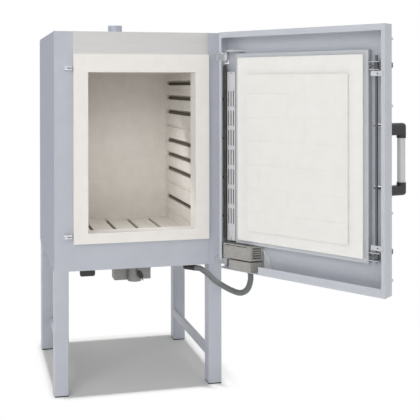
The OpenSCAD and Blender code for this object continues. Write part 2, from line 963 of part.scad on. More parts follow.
// Lower terminal cover with a sloping side
module terminal_box_lower() {
    wall = 1.5;
    color([0.66, 0.65, 0.65])
        on_door()
            translate([0, 0, box_lower_z0])
                difference() {
                    linear_extrude(box_lower_h)
                        box_plan(box_lower_x1, 0);
                    translate([0, 0, -1])
                        linear_extrude(box_lower_h + 1 - wall)
                            box_plan(box_lower_x1, wall);
                }
}

// Bush in the pan's lower edge that the hose ends against
module door_gland() {
    color([0.13, 0.13, 0.13])
        on_door()
            translate([door_hose_x, door_hose_y, 0]) {
                translate([0, 0, pan_z0 - door_gland_h])
                    cylinder(r = 15, h = door_gland_h);
                translate([0, 0, pan_z0 - 1])
                    cylinder(r = 10.5, h = 20);
            }
}

// Hinge arm on the door: a plate on the pan's inside, its pin and its spacer
module hinge_arm(z, spacer, reach, arm_rise, tail) {
    plate_z = z + hinge_h + spacer;
    color([0.72, 0.73, 0.76])
        on_door() {
            translate([0, 0, plate_z])
                linear_extrude(arm_t)
                    union() {
                        polygon([
                            [hinge_x - reach, floor_y], [hinge_x - 2, floor_y],
                            [hinge_x - 2, hinge_y + barrel_r], [hinge_x - reach * 0.3, floor_y + arm_rise],
                            [hinge_x - reach * 0.6, floor_y + arm_rise],
                        ]);
                        translate([hinge_x, hinge_y])
                            circle(r = barrel_r, $fn = 64);
                    }
            translate([hinge_x, hinge_y, z - tail])
                cylinder(d = hinge_pin_dia, h = plate_z - z + tail + 1, $fn = 64);
            if (spacer > bracket_gap)
                translate([hinge_x, hinge_y, z + hinge_h + bracket_gap])
                    cylinder(r = barrel_r, h = spacer - bracket_gap, $fn = 64);
        }
}

// The upper arm also has the pin's nut and threaded end below the bracket
module hinge_arm_upper() {
    nut_h = 9;
    hinge_arm(hinge_upper_z, spacer_t, 100, 46, nut_h);
    color([0.72, 0.73, 0.76])
        on_door()
            translate([hinge_x, hinge_y, 0]) {
                translate([0, 0, hinge_upper_z - bracket_gap - nut_h])
                    cylinder(r = 11, h = nut_h, $fn = 6);
                translate([0, 0, hinge_upper_z - pin_tail])
                    cylinder(r = 5, h = pin_tail);
            }
}

module hinge_arm_lower() hinge_arm(hinge_low_z, bracket_gap, 40, 22, 1);

// Bearing of the latch rod: a folded channel with a bored plate above and below the claw
module bearing(z) {
    color([0.60, 0.61, 0.63])
        on_door()
            translate([rod_x, 0, z - bearing_h / 2])
                difference() {
                    block([-bearing_half_w, floor_y, 0], [bearing_half_w, -bearing_out, bearing_h]);
                    block([-bearing_half_w - 1, floor_y + bearing_t, bearing_t],
                        [bearing_half_w + 1, 0, bearing_h - bearing_t]);
                    translate([0, rod_y, -1])
                        cylinder(r = rod_dia / 2 + pin_clearance, h = bearing_h + 2);
                }
}

module bearings() {
    bearing(catch_upper_z);
    bearing(catch_lower_z);
}

// Flat bars that tie the free side's flange across the latch channel
stay_len = 55;
stay_h = 19;

module stay_bars() {
    t = 2.5;
    color([0.77, 0.78, 0.80])
        on_door()
            for (z = [catch_upper_z - 30, catch_lower_z + 37])
                translate([pan_x0 + stay_inset, rim_y + t, z])
                    rotate([90, 0, 0])
                        linear_extrude(t)
                            difference() {
                                translate([0, -stay_h / 2])
                                    square([stay_len - stay_inset, stay_h]);
                                translate([stay_hole - stay_inset, 0])
                                    circle(r = 3);
                            }
}

// Round knobs on the door's face that set how tightly the latch closes
module closure_knobs() {
    knob_r = 19;
    color([0.13, 0.13, 0.13])
        on_door()
            for (z = [catch_upper_z + 2, catch_lower_z + 17])
                translate([pan_x0 + knob_r, skin_y, z])
                    rotate([90, 0, 0]) {
                        cylinder(r = 8, h = 6);
                        translate([0, 0, 5])
                            cylinder(r = knob_r, h = 9);
                    }
}

// Latch rod with the two plates that carry the handle's brackets
module latch_rod() {
    z0 = catch_lower_z - 24;
    z1 = catch_upper_z + 40;
    color([0.42, 0.42, 0.43])
        on_latch() {
            translate([0, 0, z0])
                cylinder(d = rod_dia, h = z1 - z0);
            for (z = arm_plate_z)
                translate([0, 0, z - plate_t / 2])
                    linear_extrude(plate_t)
                        union() {
                            circle(r = plate_w / 2);
                            translate([0, -plate_w / 2])
                                square([bracket_in, plate_w]);
                        }
        }
}

bracket_in = 50;
bracket_end_r = handle_dia / 2 + 2.5;

// Claw on the rod: a hub and an arc that slides behind the catch's pin
module claw(z) {
    color([0.15, 0.15, 0.15])
        on_latch()
            translate([0, 0, z]) {
                difference() {
                    union() {
                        translate([0, 0, -claw_hub_h / 2])
                            cylinder(r = claw_hub_r, h = claw_hub_h);
                        translate([0, 0, -claw_t / 2])
                            linear_extrude(claw_t)
                                rotate(90 + handle_lean)
                                    claw_outline();
                    }
                    translate([0, 0, -claw_hub_h])
                        cylinder(r = rod_dia / 2, h = 2 * claw_hub_h);
                }
            }
}

// Arc and arm of a claw, in the closed door's directions
module claw_outline() {
    tip = 90 - asin(catch_pin_dia / 2 / (rod_out - catch_pin_out)) - 3;
    heel = 22;
    difference() {
        circle(r = claw_out_r, $fn = 96);
        circle(r = claw_in_r, $fn = 96);
        rotate(tip)
            translate([-2 * claw_out_r, 0])
                square([4 * claw_out_r, 4 * claw_out_r]);
        rotate(heel)
            translate([-2 * claw_out_r, -4 * claw_out_r])
                square([4 * claw_out_r, 4 * claw_out_r]);
    }
    intersection() {
        circle(r = claw_out_r - 1, $fn = 96);
        rotate(heel)
            square([claw_out_r, claw_arm_w]);
    }
}

module claws() {
    claw(catch_upper_z);
    claw(catch_lower_z);
}

// Moulded handle bracket: a plan outline with a round end, cut to a side outline with round corners
module handle_bracket(z_mid, h, tube_above) {
    side_r = 14;
    collar = 12;
    len_x = handle_reach + bracket_end_r - bracket_in;
    color([0.18, 0.19, 0.18])
        on_latch()
            translate([0, 0, z_mid])
                difference() {
                    intersection() {
                        translate([0, 0, -h / 2 - collar - 2])
                            linear_extrude(h + 2 * collar + 4)
                                union() {
                                    translate([handle_reach, 0])
                                        circle(r = bracket_end_r);
                                    translate([bracket_in, -bracket_end_r])
                                        square([handle_reach - bracket_in, 2 * bracket_end_r]);
                                }
                        translate([bracket_in + len_x / 2, bracket_end_r + 1, 0])
                            rotate([90, 0, 0])
                                linear_extrude(2 * bracket_end_r + 2)
                                    union() {
                                        round_rect(len_x, h, side_r);
                                        translate([0, tube_above ? 0 : -h / 2])
                                            square([len_x / 2, h / 2]);
                                        translate([len_x / 2 - 2 * bracket_end_r, tube_above ? 0 : -h / 2 - collar])
                                            square([2 * bracket_end_r, h / 2 + collar]);
                                        translate([-len_x / 2, -h / 2])
                                            square([side_r, h]);
                                    }
                    }
                    translate([handle_reach, 0, tube_above ? 8 - h / 2 : -h / 2 - collar - 1])
                        cylinder(r = handle_dia / 2 + pin_clearance, h = h + collar - 7);
                }
}

handle_z0 = handle_mid_z - handle_span / 2;
handle_z1 = handle_mid_z + handle_span / 2;

module handle_bracket_upper() handle_bracket(handle_z1 - bracket_upper_h / 2, bracket_upper_h, false);
module handle_bracket_lower() handle_bracket(handle_z0 + bracket_lower_h / 2, bracket_lower_h, true);

// Aluminium grip tube between the two brackets
module handle_tube() {
    z0 = handle_z0 + 8;
    z1 = handle_z1 - 8;
    color([0.76, 0.77, 0.76])
        on_latch()
            translate([handle_reach, 0, z0])
                difference() {
                    cylinder(d = handle_dia, h = z1 - z0);
                    translate([0, 0, -1])
                        cylinder(d = handle_dia - 6, h = z1 - z0 + 2);
                }
}

// Smooth curve through four route points
function between(a, b, c, d, t) =
    0.5 * (2 * b + (c - a) * t + (2 * a - 5 * b + 4 * c - d) * t * t + (3 * b - a - 3 * c + d) * t * t * t);

function unit(v) = v / norm(v);

// Ribbed hose swept along its route, with a rib in every third of its rings
module hose() {
    steps = 6;
    hose_route = concat([gland_end, gland_end + gland_lead / 2, gland_end + gland_lead], hose_run,
        [hose_end - [0, 0, hose_dia], hose_end - [0, 0, hose_dia / 2], hose_end]);
    last = len(hose_route) - 1;
    line = [
        for (i = [0:last - 1], s = [0:steps - 1])
            between(hose_route[max(i - 1, 0)], hose_route[i], hose_route[i + 1],
                hose_route[min(i + 2, last)], s / steps),
        hose_route[last],
    ];
    n = len(line);
    ahead = [for (i = [0:n - 1]) unit(line[min(i + 1, n - 1)] - line[max(i - 1, 0)])];
    side = [for (a = ahead) unit(cross(a, [0.5, 0.8, 0.1]))];
    up = [for (i = [0:n - 1]) cross(side[i], ahead[i])];
    radius = [for (i = [0:n - 1]) (i > 2 && i < n - 3 && i % 2 == 0) ? hose_dia / 2 : hose_dia / 2 - 1.2];
    points = [
        for (i = [0:n - 1], k = [0:hose_sides - 1])
            line[i] + radius[i] * (cos(360 * k / hose_sides) * side[i] + sin(360 * k / hose_sides) * up[i])
    ];
    walls = [
        for (i = [0:n - 2], k = [0:hose_sides - 1], half = [0, 1])
            let (a = i * hose_sides + k, b = i * hose_sides + (k + 1) % hose_sides)
                half == 0 ? [a, b, b + hose_sides] : [a, b + hose_sides, a + hose_sides]
    ];
    ends = [
        [for (k = [hose_sides - 1:-1:0]) k],
        [for (k = [0:hose_sides - 1]) (n - 1) * hose_sides + k],
    ];
    color([0.45, 0.46, 0.46])
        on_body()
            polyhedron(points = points, faces = concat(walls, ends));
}

side_left();
side_right();
roof_panel();
back_panel();
rear_cover();
post_left();
post_right();
apron();
fascia();
base_tray();
leg_front_left();
leg_front_right();
leg_rear_left();
leg_rear_right();
rail_left();
rail_right();
feet();
frame_sill();
frame_lintel();
jamb_left();
jamb_right();
wall_left();
wall_right();
wall_back();
floor_bricks();
roof_bricks();
elements_left();
elements_right();
elements_floor();
flue_stub();
catches();
hinge_bracket_upper();
hinge_bracket_lower();
air_duct();
hose_gland();
slider_plate();
slider_grip();
slider_guides();
damper_lever();
damper_knob();
door_pan();
door_collar();
door_fibre();
door_plug();
wiring_cover();
terminal_box_upper();
terminal_box_lower();
door_gland();
hinge_arm_upper();
hinge_arm_lower();
bearings();
stay_bars();
closure_knobs();
latch_rod();
claws();
handle_bracket_upper();
handle_bracket_lower();
handle_tube();
hose();
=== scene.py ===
"""Looks of a front-loading chamber kiln that stands with its door open.

Each sub-assembly of the kiln is a class with its sizes and its own pieces, and
each finish is a frozen dataclass that draws one procedural material.
"""

import json
import logging
import math
from dataclasses import dataclass
from enum import Enum
from typing import Any, Callable, Iterable, Sequence

import bmesh
import bpy
from mathutils import Matrix, Vector


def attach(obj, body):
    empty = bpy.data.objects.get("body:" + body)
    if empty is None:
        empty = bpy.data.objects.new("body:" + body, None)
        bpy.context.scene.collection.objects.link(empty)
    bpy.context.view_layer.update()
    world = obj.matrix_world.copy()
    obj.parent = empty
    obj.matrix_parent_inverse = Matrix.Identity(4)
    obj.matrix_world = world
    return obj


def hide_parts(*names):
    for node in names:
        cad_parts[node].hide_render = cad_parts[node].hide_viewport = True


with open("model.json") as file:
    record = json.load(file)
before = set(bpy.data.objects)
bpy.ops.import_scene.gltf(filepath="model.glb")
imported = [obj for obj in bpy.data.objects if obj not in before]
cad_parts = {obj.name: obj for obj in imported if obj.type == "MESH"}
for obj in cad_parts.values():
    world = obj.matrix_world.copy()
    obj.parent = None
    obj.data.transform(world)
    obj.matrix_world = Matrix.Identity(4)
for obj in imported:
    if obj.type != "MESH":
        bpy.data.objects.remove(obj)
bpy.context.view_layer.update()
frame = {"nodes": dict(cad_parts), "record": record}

log = logging.getLogger("kiln")

Shape = bmesh.types.BMesh
Socket = bpy.types.NodeSocket
Pair = tuple[float, float]
Point = tuple[float, float, float]

MM = 0.001
# The kiln's own axes have their origin in the middle of the front left sole,
# half a leg inside the casing's front left corner.
CORNER = Vector((-31.0, -31.0, 0.0)) * MM
# The hinge line, and how far the door stands open.
HINGE = Vector((753.0, -56.0, 0.0)) * MM
DOOR_OPEN = math.radians(126.5)
# The latch rod on the closed door, and where the grip points from it.
ROD = Vector((50.5, -35.0, 0.0)) * MM
HANDLE_LEAN = math.radians(-115.0)
# The ways that heads and knobs face on the casing and on the closed door.
UPWARD, FORWARD, BACKWARD = (0, 0, 1), (0, -1, 0), (0, 1, 0)
# Points this close, in metres, are one: in a new shape, and in a CAD mesh.
SAME_POINT = 1e-6
CAD_WELD = 1e-5
# Edges that turn more than these stay crisp, or get a bevel.
CRISP_ANGLE = math.radians(32.0)
BEVEL_ANGLE = math.radians(40.0)


def linear(colour: str) -> tuple[float, float, float, float]:
    """Turns an sRGB hex colour into the linear colour that shaders take.

    Args:
        colour: Six hex digits, such as "b8c0c8".

    Returns:
        The linear red, green, blue and an alpha of 1.
    """
    channels = [int(colour[i : i + 2], 16) / 255.0 for i in (0, 2, 4)]
    red, green, blue = (
        c / 12.92 if c <= 0.04045 else ((c + 0.055) / 1.055) ** 2.4 for c in channels
    )
    return (red, green, blue, 1.0)


def add(
    tree: bpy.types.NodeTree, kind: str, inputs: dict[Any, Any] | None = None, **settings: Any
) -> bpy.types.Node:
    """Adds a node with its settings, and links or sets its inputs.

    Args:
        tree: The node tree.
        kind: The node's type, without the ShaderNode prefix.
        inputs: Input names or numbers, each with a socket to link or a value.
        **settings: The node's own properties.

    Returns:
        The new node.
    """
    node = tree.nodes.new("ShaderNode" + kind)
    for key, value in settings.items():
        setattr(node, key, value)
    for key, value in (inputs or {}).items():
        if isinstance(value, Socket):
            tree.links.new(value, node.inputs[key])
        else:
            node.inputs[key].default_value = value
    return node


class Grain(Enum):
    """Direction of a metal's lines, as noise scales per metre: long one way, fine across."""

    ALONG_X = (4.0, 900.0, 900.0)
    ALONG_Z = (900.0, 900.0, 4.0)


class Face(Enum):
    """Plane in which a brick wall's courses are seen."""

    BACK = ("X", "Z")
    SIDE = ("Y", "Z")
    LEVEL = ("X", "Y")


@dataclass(frozen=True)
class Finish:
    """What every finish shares: its name, its colour and darker tone, and its gloss."""

    name: str
    colour: str
    dark: str
    roughness: float
    metallic: float = 0.0
    ior: float = 1.5

    def material(self) -> bpy.types.Material:
        """Builds the material with the finish's own pattern.

        Returns:
            The material.
        """
        surface = Surface(self)
        self.pattern(surface)
        return surface.material

    def pattern(self, surface: "Surface") -> None:
        """Draws the pattern on a surface, which each kind of finish does its own way."""
        raise NotImplementedError


@dataclass
class Surface:
    """A finish's material in the making: its tree, its shader and its coordinates in metres."""

    finish: Finish

    def __post_init__(self) -> None:
        """Makes the material, and sets its shader to the finish's colour and gloss."""
        self.material = bpy.data.materials.new(self.finish.name)
        self.material.use_nodes = True
        self.tree = self.material.node_tree
        self.shader = self.tree.nodes["Principled BSDF"]
        self.shader.inputs["Base Color"].default_value = linear(self.finish.colour)
        self.shader.inputs["Roughness"].default_value = self.finish.roughness
        self.shader.inputs["Metallic"].default_value = self.finish.metallic
        if not self.finish.metallic:
            self.shader.inputs["IOR"].default_value = self.finish.ior
        self.place = add(self.tree, "TexCoord").outputs["Object"]

    def sized(self, size_mm: float, **others: float) -> dict[str, Any]:
        """Gives a texture the inputs that draw its blotches or cells in a real size.

        Args:
            size_mm: The size of one of them in millimetres.
            **others: More inputs of the texture, such as Detail.

        Returns:
            The inputs by name.
        """
        return {"Vector": self.place, "Scale": 1000.0 / size_mm, **others}

    def tone(self, value: Socket, spread: Pair) -> None:
        """Varies the colour from the finish's darker tone to its own.

        Args:
            value: What the tone follows.
            spread: The values at which the two tones are reached.
        """
        ramp = add(self.tree, "ValToRGB", {"Fac": value})
        tones = (self.finish.dark, self.finish.colour)
        for stop, position, colour in zip(ramp.color_ramp.elements, spread, tones):
            stop.position = position
            stop.color = linear(colour)
        self.tree.links.new(ramp.outputs["Color"], self.shader.inputs["Base Color"])

    def relief(self, value: Socket, depth_mm: float, strength: float) -> None:
        """Raises the surface by a value, to a real depth.

        Args:
            value: The height, from 0 to 1.
            depth_mm: The depth in millimetres.
            strength: How much of it shows.
        """
        height = {"Height": value, "Distance": depth_mm * MM, "Strength": strength}
        bump = add(self.tree, "Bump", height)
        self.tree.links.new(bump.outputs["Normal"], self.shader.inputs["Normal"])

    def gloss(self, value: Socket, spread: float) -> None:
        """Varies the roughness a little about the finish's own.

        Args:
            value: What the roughness follows.
            spread: How far it goes either way.
        """
        middle = self.finish.roughness
        ends = {"Value": value, "To Min": middle - spread, "To Max": middle + spread}
        varied = add(self.tree, "MapRange", ends)
        self.tree.links.new(varied.outputs["Result"], self.shader.inputs["Roughness"])


@dataclass(frozen=True)
class PowderCoat(Finish):
    """Polyester powder coat on folded steel: satin, with a fine orange peel."""

    peel_mm: float = 1.6
    marks_mm: float = 90.0

    def pattern(self, surface: Surface) -> None:
        """Draws the orange peel in relief, and faint handling marks in colour and gloss.

        Args:
            surface: The surface to draw on.
        """
        peel = add(surface.tree, "TexNoise", surface.sized(self.peel_mm, Detail=2.0))
        marks = add(surface.tree, "TexNoise", surface.sized(self.marks_mm, Detail=4.0))
        surface.tone(marks.outputs[0], spread=(0.1, 0.6))
        surface.gloss(marks.outputs[0], spread=0.06)
        surface.relief(peel.outputs[0], depth_mm=0.05, strength=0.35)


@dataclass(frozen=True)
class BrushedMetal(Finish):
    """Metal with a grain: brushed stainless sheet, drawn rod or anodised tube."""

    grain: Grain = Grain.ALONG_X

    def pattern(self, surface: Surface) -> None:
        """Draws grain lines about 1 mm apart, coarser than real ones so that they show.

        Args:
            surface: The surface to draw on.
        """
        stretch = {"Vector": surface.place, "Scale": self.grain.value}
        along = add(surface.tree, "Mapping", stretch).outputs[0]
        lines = add(surface.tree, "TexNoise", {"Vector": along, "Scale": 1.0, "Detail": 3.0})
        surface.tone(lines.outputs[0], spread=(0.3, 0.7))
        surface.gloss(lines.outputs[0], spread=0.08)
        surface.relief(lines.outputs[0], depth_mm=0.03, strength=0.3)


@dataclass(frozen=True)
class ZincSheet(Finish):
    """Hot-dip galvanised or zinc-plated steel: dull metal with a frosty spangle."""

    spangle_mm: float = 7.0
    haze_mm: float = 30.0

    def pattern(self, surface: Surface) -> None:
        """Draws spangle crystals of a few millimetres, half mixed with a soft haze.

        Args:
            surface: The surface to draw on.
        """
        tree = surface.tree
        cells = add(tree, "TexVoronoi", surface.sized(self.spangle_mm)).outputs["Color"]
        haze = add(tree, "TexNoise", surface.sized(self.haze_mm, Detail=3.0)).outputs[0]
        shade = add(tree, "Mix", {0: 0.5, "A": cells, "B": haze}, data_type="RGBA")
        grey = add(tree, "RGBToBW", {0: shade.outputs["Result"]}).outputs[0]
        surface.tone(grey, spread=(0.2, 0.8))
        surface.gloss(grey, spread=0.1)


@dataclass(frozen=True)
class FireBrick(Finish):
    """Lightweight refractory: porous, matt, laid in courses with thin joints."""

    joint: str = "a09888"
    face: Face = Face.BACK
    course_mm: float = 114.0
    brick_mm: float = 230.0
    joint_mm: float = 1.4
    pore_mm: float = 1.2
    mottle_mm: float = 60.0
    shift_mm: Pair = (0.0, 0.0)

    def pattern(self, surface: Surface) -> None:
        """Draws the bricks' two tones and their mortar, a mottle over them, and the pores.

        Args:
            surface: The surface to draw on.
        """
        tree = surface.tree
        pores = add(tree, "TexNoise", surface.sized(self.pore_mm, Detail=3.0))
        mottle = add(tree, "TexNoise", surface.sized(self.mottle_mm, Detail=4.0)).outputs[0]
        parts = add(tree, "SeparateXYZ", {0: surface.place})
        across, up = (parts.outputs[axis] for axis in self.face.value)
        plane = add(tree, "CombineXYZ", {"X": across, "Y": up}).outputs[0]
        shift = (self.shift_mm[0] * MM, self.shift_mm[1] * MM, 0.0)
        moved = add(tree, "Mapping", {"Vector": plane, "Location": shift})
        laid = {
            "Vector": moved.outputs[0],
            "Color1": linear(self.colour),
            "Color2": linear(self.dark),
            "Mortar": linear(self.joint),
            "Scale": 1.0,
            "Mortar Size": self.joint_mm * MM,
            "Mortar Smooth": 0.4,
            "Bias": -0.55,
            "Brick Width": self.brick_mm * MM,
            "Row Height": self.course_mm * MM,
        }
        wall = add(tree, "TexBrick", laid).outputs["Color"]
        ends = {"Value": mottle, "From Min": 0.3, "From Max": 0.7, "To Min": 0.93, "To Max": 1.0}
        own = add(tree, "MapRange", ends).outputs["Result"]
        both = {0: 1.0, "A": wall, "B": own}
        shaded = add(tree, "Mix", both, data_type="RGBA", blend_type="MULTIPLY")
        tree.links.new(shaded.outputs["Result"], surface.shader.inputs["Base Color"])
        surface.relief(pores.outputs[0], depth_mm=0.3, strength=0.5)


@dataclass(frozen=True)
class Refractory(Finish):
    """Cast or fibre refractory: matt, chalky, with fine grit and a soft mottle."""

    grit_mm: float = 1.5
    mottle_mm: float = 50.0
    depth_mm: float = 0.25

    def pattern(self, surface: Surface) -> None:
        """Draws the grit in relief and the mottle in colour.

        Args:
            surface: The surface to draw on.
        """
        grit = add(surface.tree, "TexNoise", surface.sized(self.grit_mm, Detail=4.0))
        mottle = add(surface.tree, "TexNoise", surface.sized(self.mottle_mm, Detail=5.0))
        surface.tone(mottle.outputs[0], spread=(0.25, 0.6))
        surface.relief(grit.outputs[0], depth_mm=self.depth_mm, strength=0.5)


@dataclass(frozen=True)
class Grained(Finish):
    """Moulded plastic, rubber, cable sleeve or phosphated steel: a fine, matt grain."""

    grain_mm: float = 0.8
    wear_mm: float = 25.0

    def pattern(self, surface: Surface) -> None:
        """Draws the grain in relief, and faint wear in colour and gloss.

        Args:
            surface: The surface to draw on.
        """
        grain = add(surface.tree, "TexNoise", surface.sized(self.grain_mm, Detail=2.0))
        wear = add(surface.tree, "TexNoise", surface.sized(self.wear_mm, Detail=3.0))
        surface.tone(wear.outputs[0], spread=(0.2, 0.7))
        surface.gloss(wear.outputs[0], spread=0.08)
        surface.relief(grain.outputs[0], depth_mm=0.06, strength=0.5)


@dataclass(frozen=True)
class Scaled(Finish):
    """Resistance wire after firing: a dark, dull oxide scale."""

    blotch_mm: float = 8.0
    flake_mm: float = 0.7

    def pattern(self, surface: Surface) -> None:
        """Draws blotches from brown to near black, and fine flakes in relief.

        Args:
            surface: The surface to draw on.
        """
        blotch = add(surface.tree, "TexNoise", surface.sized(self.blotch_mm, Detail=4.0))
        surface.tone(blotch.outputs[0], spread=(0.35, 0.65))
        flakes = add(surface.tree, "TexNoise", surface.sized(self.flake_mm, Detail=2.0))
        surface.relief(flakes.outputs[0], depth_mm=0.1, strength=0.4)


FINISHES: dict[str, Finish] = {
    # Polyester powder coat on folded mild steel: level, satin blue-grey with a soft
    # highlight. The side finish is the front coat painted darker, as painted shade on the
    # side panels. The catch finish is pale and lighter still, partly as a painted highlight.
    "side": PowderCoat("powder coat, blue-grey side, painted shade", "8f95a6", "898fa0", roughness=0.48),
    "front": PowderCoat("powder coat, light blue-grey", "b9bcc5", "b3b6bf", roughness=0.45),
    "stand": PowderCoat("powder coat, blue-grey stand", "b9bcc5", "b3b6bf", roughness=0.46),
    "door": PowderCoat("powder coat, door pan", "c1c4cc", "bbbec6", roughness=0.44),
    "collar": PowderCoat("powder coat, lining collar", "c1c4c9", "bbbec3", roughness=0.42),
    # Painted highlight: the catches' coat is partly their own pale colour and partly painted
    # lighter for the light that falls on them.
    "catch": PowderCoat("powder coat, pale catch, painted highlight", "e6e8ec", "dfe1e5", roughness=0.45),
    # Brushed stainless, drawn steel and anodised aluminium: fine lines along the
    # piece, which draw the highlight out across it.
    "fascia": BrushedMetal(
        "brushed stainless fascia", "d2d1d0", "c6c5c4",
        roughness=0.45, metallic=0.6,
    ),
    "stub": BrushedMetal(
        "plain stainless tube", "c6cad2", "b6bac2",
        roughness=0.55, metallic=0.45, grain=Grain.ALONG_Z,
    ),
    "rod": BrushedMetal(
        "drawn steel rod", "77787a", "58595a",
        roughness=0.45, metallic=0.8, grain=Grain.ALONG_Z,
    ),
    "grip_tube": BrushedMetal(
        "anodised aluminium tube", "cdcfcd", "c3c5c4",
        roughness=0.60, metallic=0.25, grain=Grain.ALONG_Z,
    ),
    "screw": BrushedMetal("zinc-plated screw", "a8aaac", "8e9092", roughness=0.34, metallic=1.0),
    # Galvanised and zinc-plated steel: dull, cloudy metal with a patchy spangle.
    "zinc": ZincSheet("galvanised sheet", "9a9a98", "83837f", roughness=0.50, metallic=0.6),
    "plated": ZincSheet(
        "zinc-plated fitting", "cfd1d4", "babcbf",
        roughness=0.42, metallic=0.5, spangle_mm=3.0,
    ),
    "slotted": ZincSheet(
        "galvanised slotted cover", "d9d7d9", "cbc9cb",
        roughness=0.48, metallic=0.4,
    ),
    "box": ZincSheet("galvanised terminal box", "aeaca8", "9a9894", roughness=0.5, metallic=0.45),
    # Refractory, all chalky and without a highlight: dense white castings, porous
    # beige brick in courses, and soft white fibre.
    "front_brick": Refractory("cast refractory front", "ece8e4", "e8e4e0", roughness=0.92),
    "back_brick": FireBrick(
        "insulating firebrick, back", "dad5cf", "d6d0c9",
        roughness=0.95, joint="d5cfc8", shift_mm=(31.0, -62.0),
    ),
    "side_brick": FireBrick(
        "insulating firebrick, side", "dedad4", "dad6cf",
        roughness=0.95, joint="d2ccc4", face=Face.SIDE, shift_mm=(0.0, -62.0),
    ),
    "floor_brick": FireBrick(
        "insulating firebrick, level", "dcd8d1", "d8d3cc",
        roughness=0.95, joint="cfc9c0", face=Face.LEVEL,
    ),
    "fibre": Refractory(
        "ceramic fibre board", "ecebe8", "e9e7e4",
        roughness=0.95, grit_mm=2.5, depth_mm=0.3,
    ),
    "plug_brick": Refractory(
        "white lightweight brick", "ebe9e5", "e8e6e2",
        roughness=0.95, grit_mm=1.0, depth_mm=0.15,
    ),
    # Sintered ceramic rods, hard and beige, and the brown oxide on the wire round them.
    "ceramic_rod": Refractory(
        "sintered ceramic rod", "a99e8e", "8f8475",
        roughness=0.8, grit_mm=0.8, depth_mm=0.05,
    ),
    "wire": Scaled("oxidised resistance wire", "6b6053", "463e35", roughness=0.7),
    # Phosphated steel claws: dark grey, matt and even.
    "claw": Grained("phosphated steel", "6f7173", "5b5d5f", roughness=0.45),
    # Plastics and rubber: a fine moulded grain that breaks up a broad, soft highlight.
    "black": Grained("glass-filled black nylon", "2a2c2b", "1e201f", roughness=0.42),
    "hose": Grained("grey polyamide conduit", "7c7f80", "6f7273", roughness=0.40, grain_mm=1.5),
    "loom": Grained("dark braided cable sleeve", "55544f", "363531", roughness=0.6, grain_mm=2.2),
    "cap": Grained("white screw cap", "d9dbdd", "cfd1d3", roughness=0.4),
    "pad": Grained("black rubber", "1c1c1c", "141414", roughness=0.7),
    "earth": Grained("pale silicone wire insulation", "dedcd0", "d2d0c4", roughness=0.45),
}

# The CAD nodes that each finish is for.
FINISHED_NODES: dict[str, tuple[str, ...]] = {
    # The side finish carries painted shade: it is the front coat painted darker.
    "side": ("side_left", "side_right", "roof_panel", "back_panel", "rear_cover"),
    "front": ("post_left", "post_right", "apron"),
    "fascia": ("fascia",),
    "zinc": ("base_tray", "air_duct", "slider_plate", "slider_guides"),
    "stand": (
        "leg_front_left", "leg_front_right", "leg_rear_left", "leg_rear_right",
        "rail_left", "rail_right",
    ),
    "pad": ("feet",),
    "front_brick": ("frame_sill", "frame_lintel", "jamb_left", "jamb_right"),
    "side_brick": ("wall_left", "wall_right"),
    "back_brick": ("wall_back",),
    "floor_brick": ("floor_bricks", "roof_bricks"),
    "ceramic_rod": ("elements_left", "elements_right", "elements_floor"),
    "stub": ("flue_stub",),
    "catch": ("catches",),
    "plated": (
        "hinge_bracket_upper", "hinge_bracket_lower", "hinge_arm_upper", "hinge_arm_lower",
        "bearings", "stay_bars",
    ),
    "black": (
        "hose_gland", "door_gland", "slider_grip", "damper_knob", "closure_knobs",
        "handle_bracket_upper", "handle_bracket_lower",
    ),
    "rod": ("damper_lever", "latch_rod"),
    "door": ("door_pan",),
    "collar": ("door_collar",),
    "fibre": ("door_fibre",),
    "plug_brick": ("door_plug",),
    "slotted": ("wiring_cover",),
    "box": ("terminal_box_upper", "terminal_box_lower"),
    "claw": ("claws",),
    "grip_tube": ("handle_tube",),
    "hose": ("hose",),
}

# The width of the softened edges of the nodes in each material slot; the rest stay sharp.
EDGES_MM: dict[str, float] = {
    "hard_brick": 0.6,
    "light_brick": 1.0,
    "fibre_board": 2.0,
    "plug_brick": 0.5,
    "grip_black": 1.6,
    "casing_paint": 0.7,
    "post_paint": 0.7,
    "door_paint": 0.7,
    "collar_paint": 0.7,
    "zinc_sheet": 0.5,
    "fitting_zinc": 0.6,
    "brushed_fascia": 0.5,
}


def shown(name: str, data: bpy.types.ID) -> bpy.types.Object:
    """Makes an object of its data and puts it in the scene.

    Args:
        name: The object's name.
        data: The mesh, lamp or camera.

    Returns:
        The object.
    """
    thing = bpy.data.objects.new(name, data)
    bpy.context.scene.collection.objects.link(thing)
    return thing


def soften(piece: bpy.types.Object) -> None:
    """Shades a piece smoothly, and splits it at its crisp edges.

    Args:
        piece: The piece.
    """
    for polygon in piece.data.polygons:
        polygon.use_smooth = True
    split = piece.modifiers.new("smooth", "EDGE_SPLIT")
    split.split_angle = CRISP_ANGLE
    split.use_edge_sharp = False


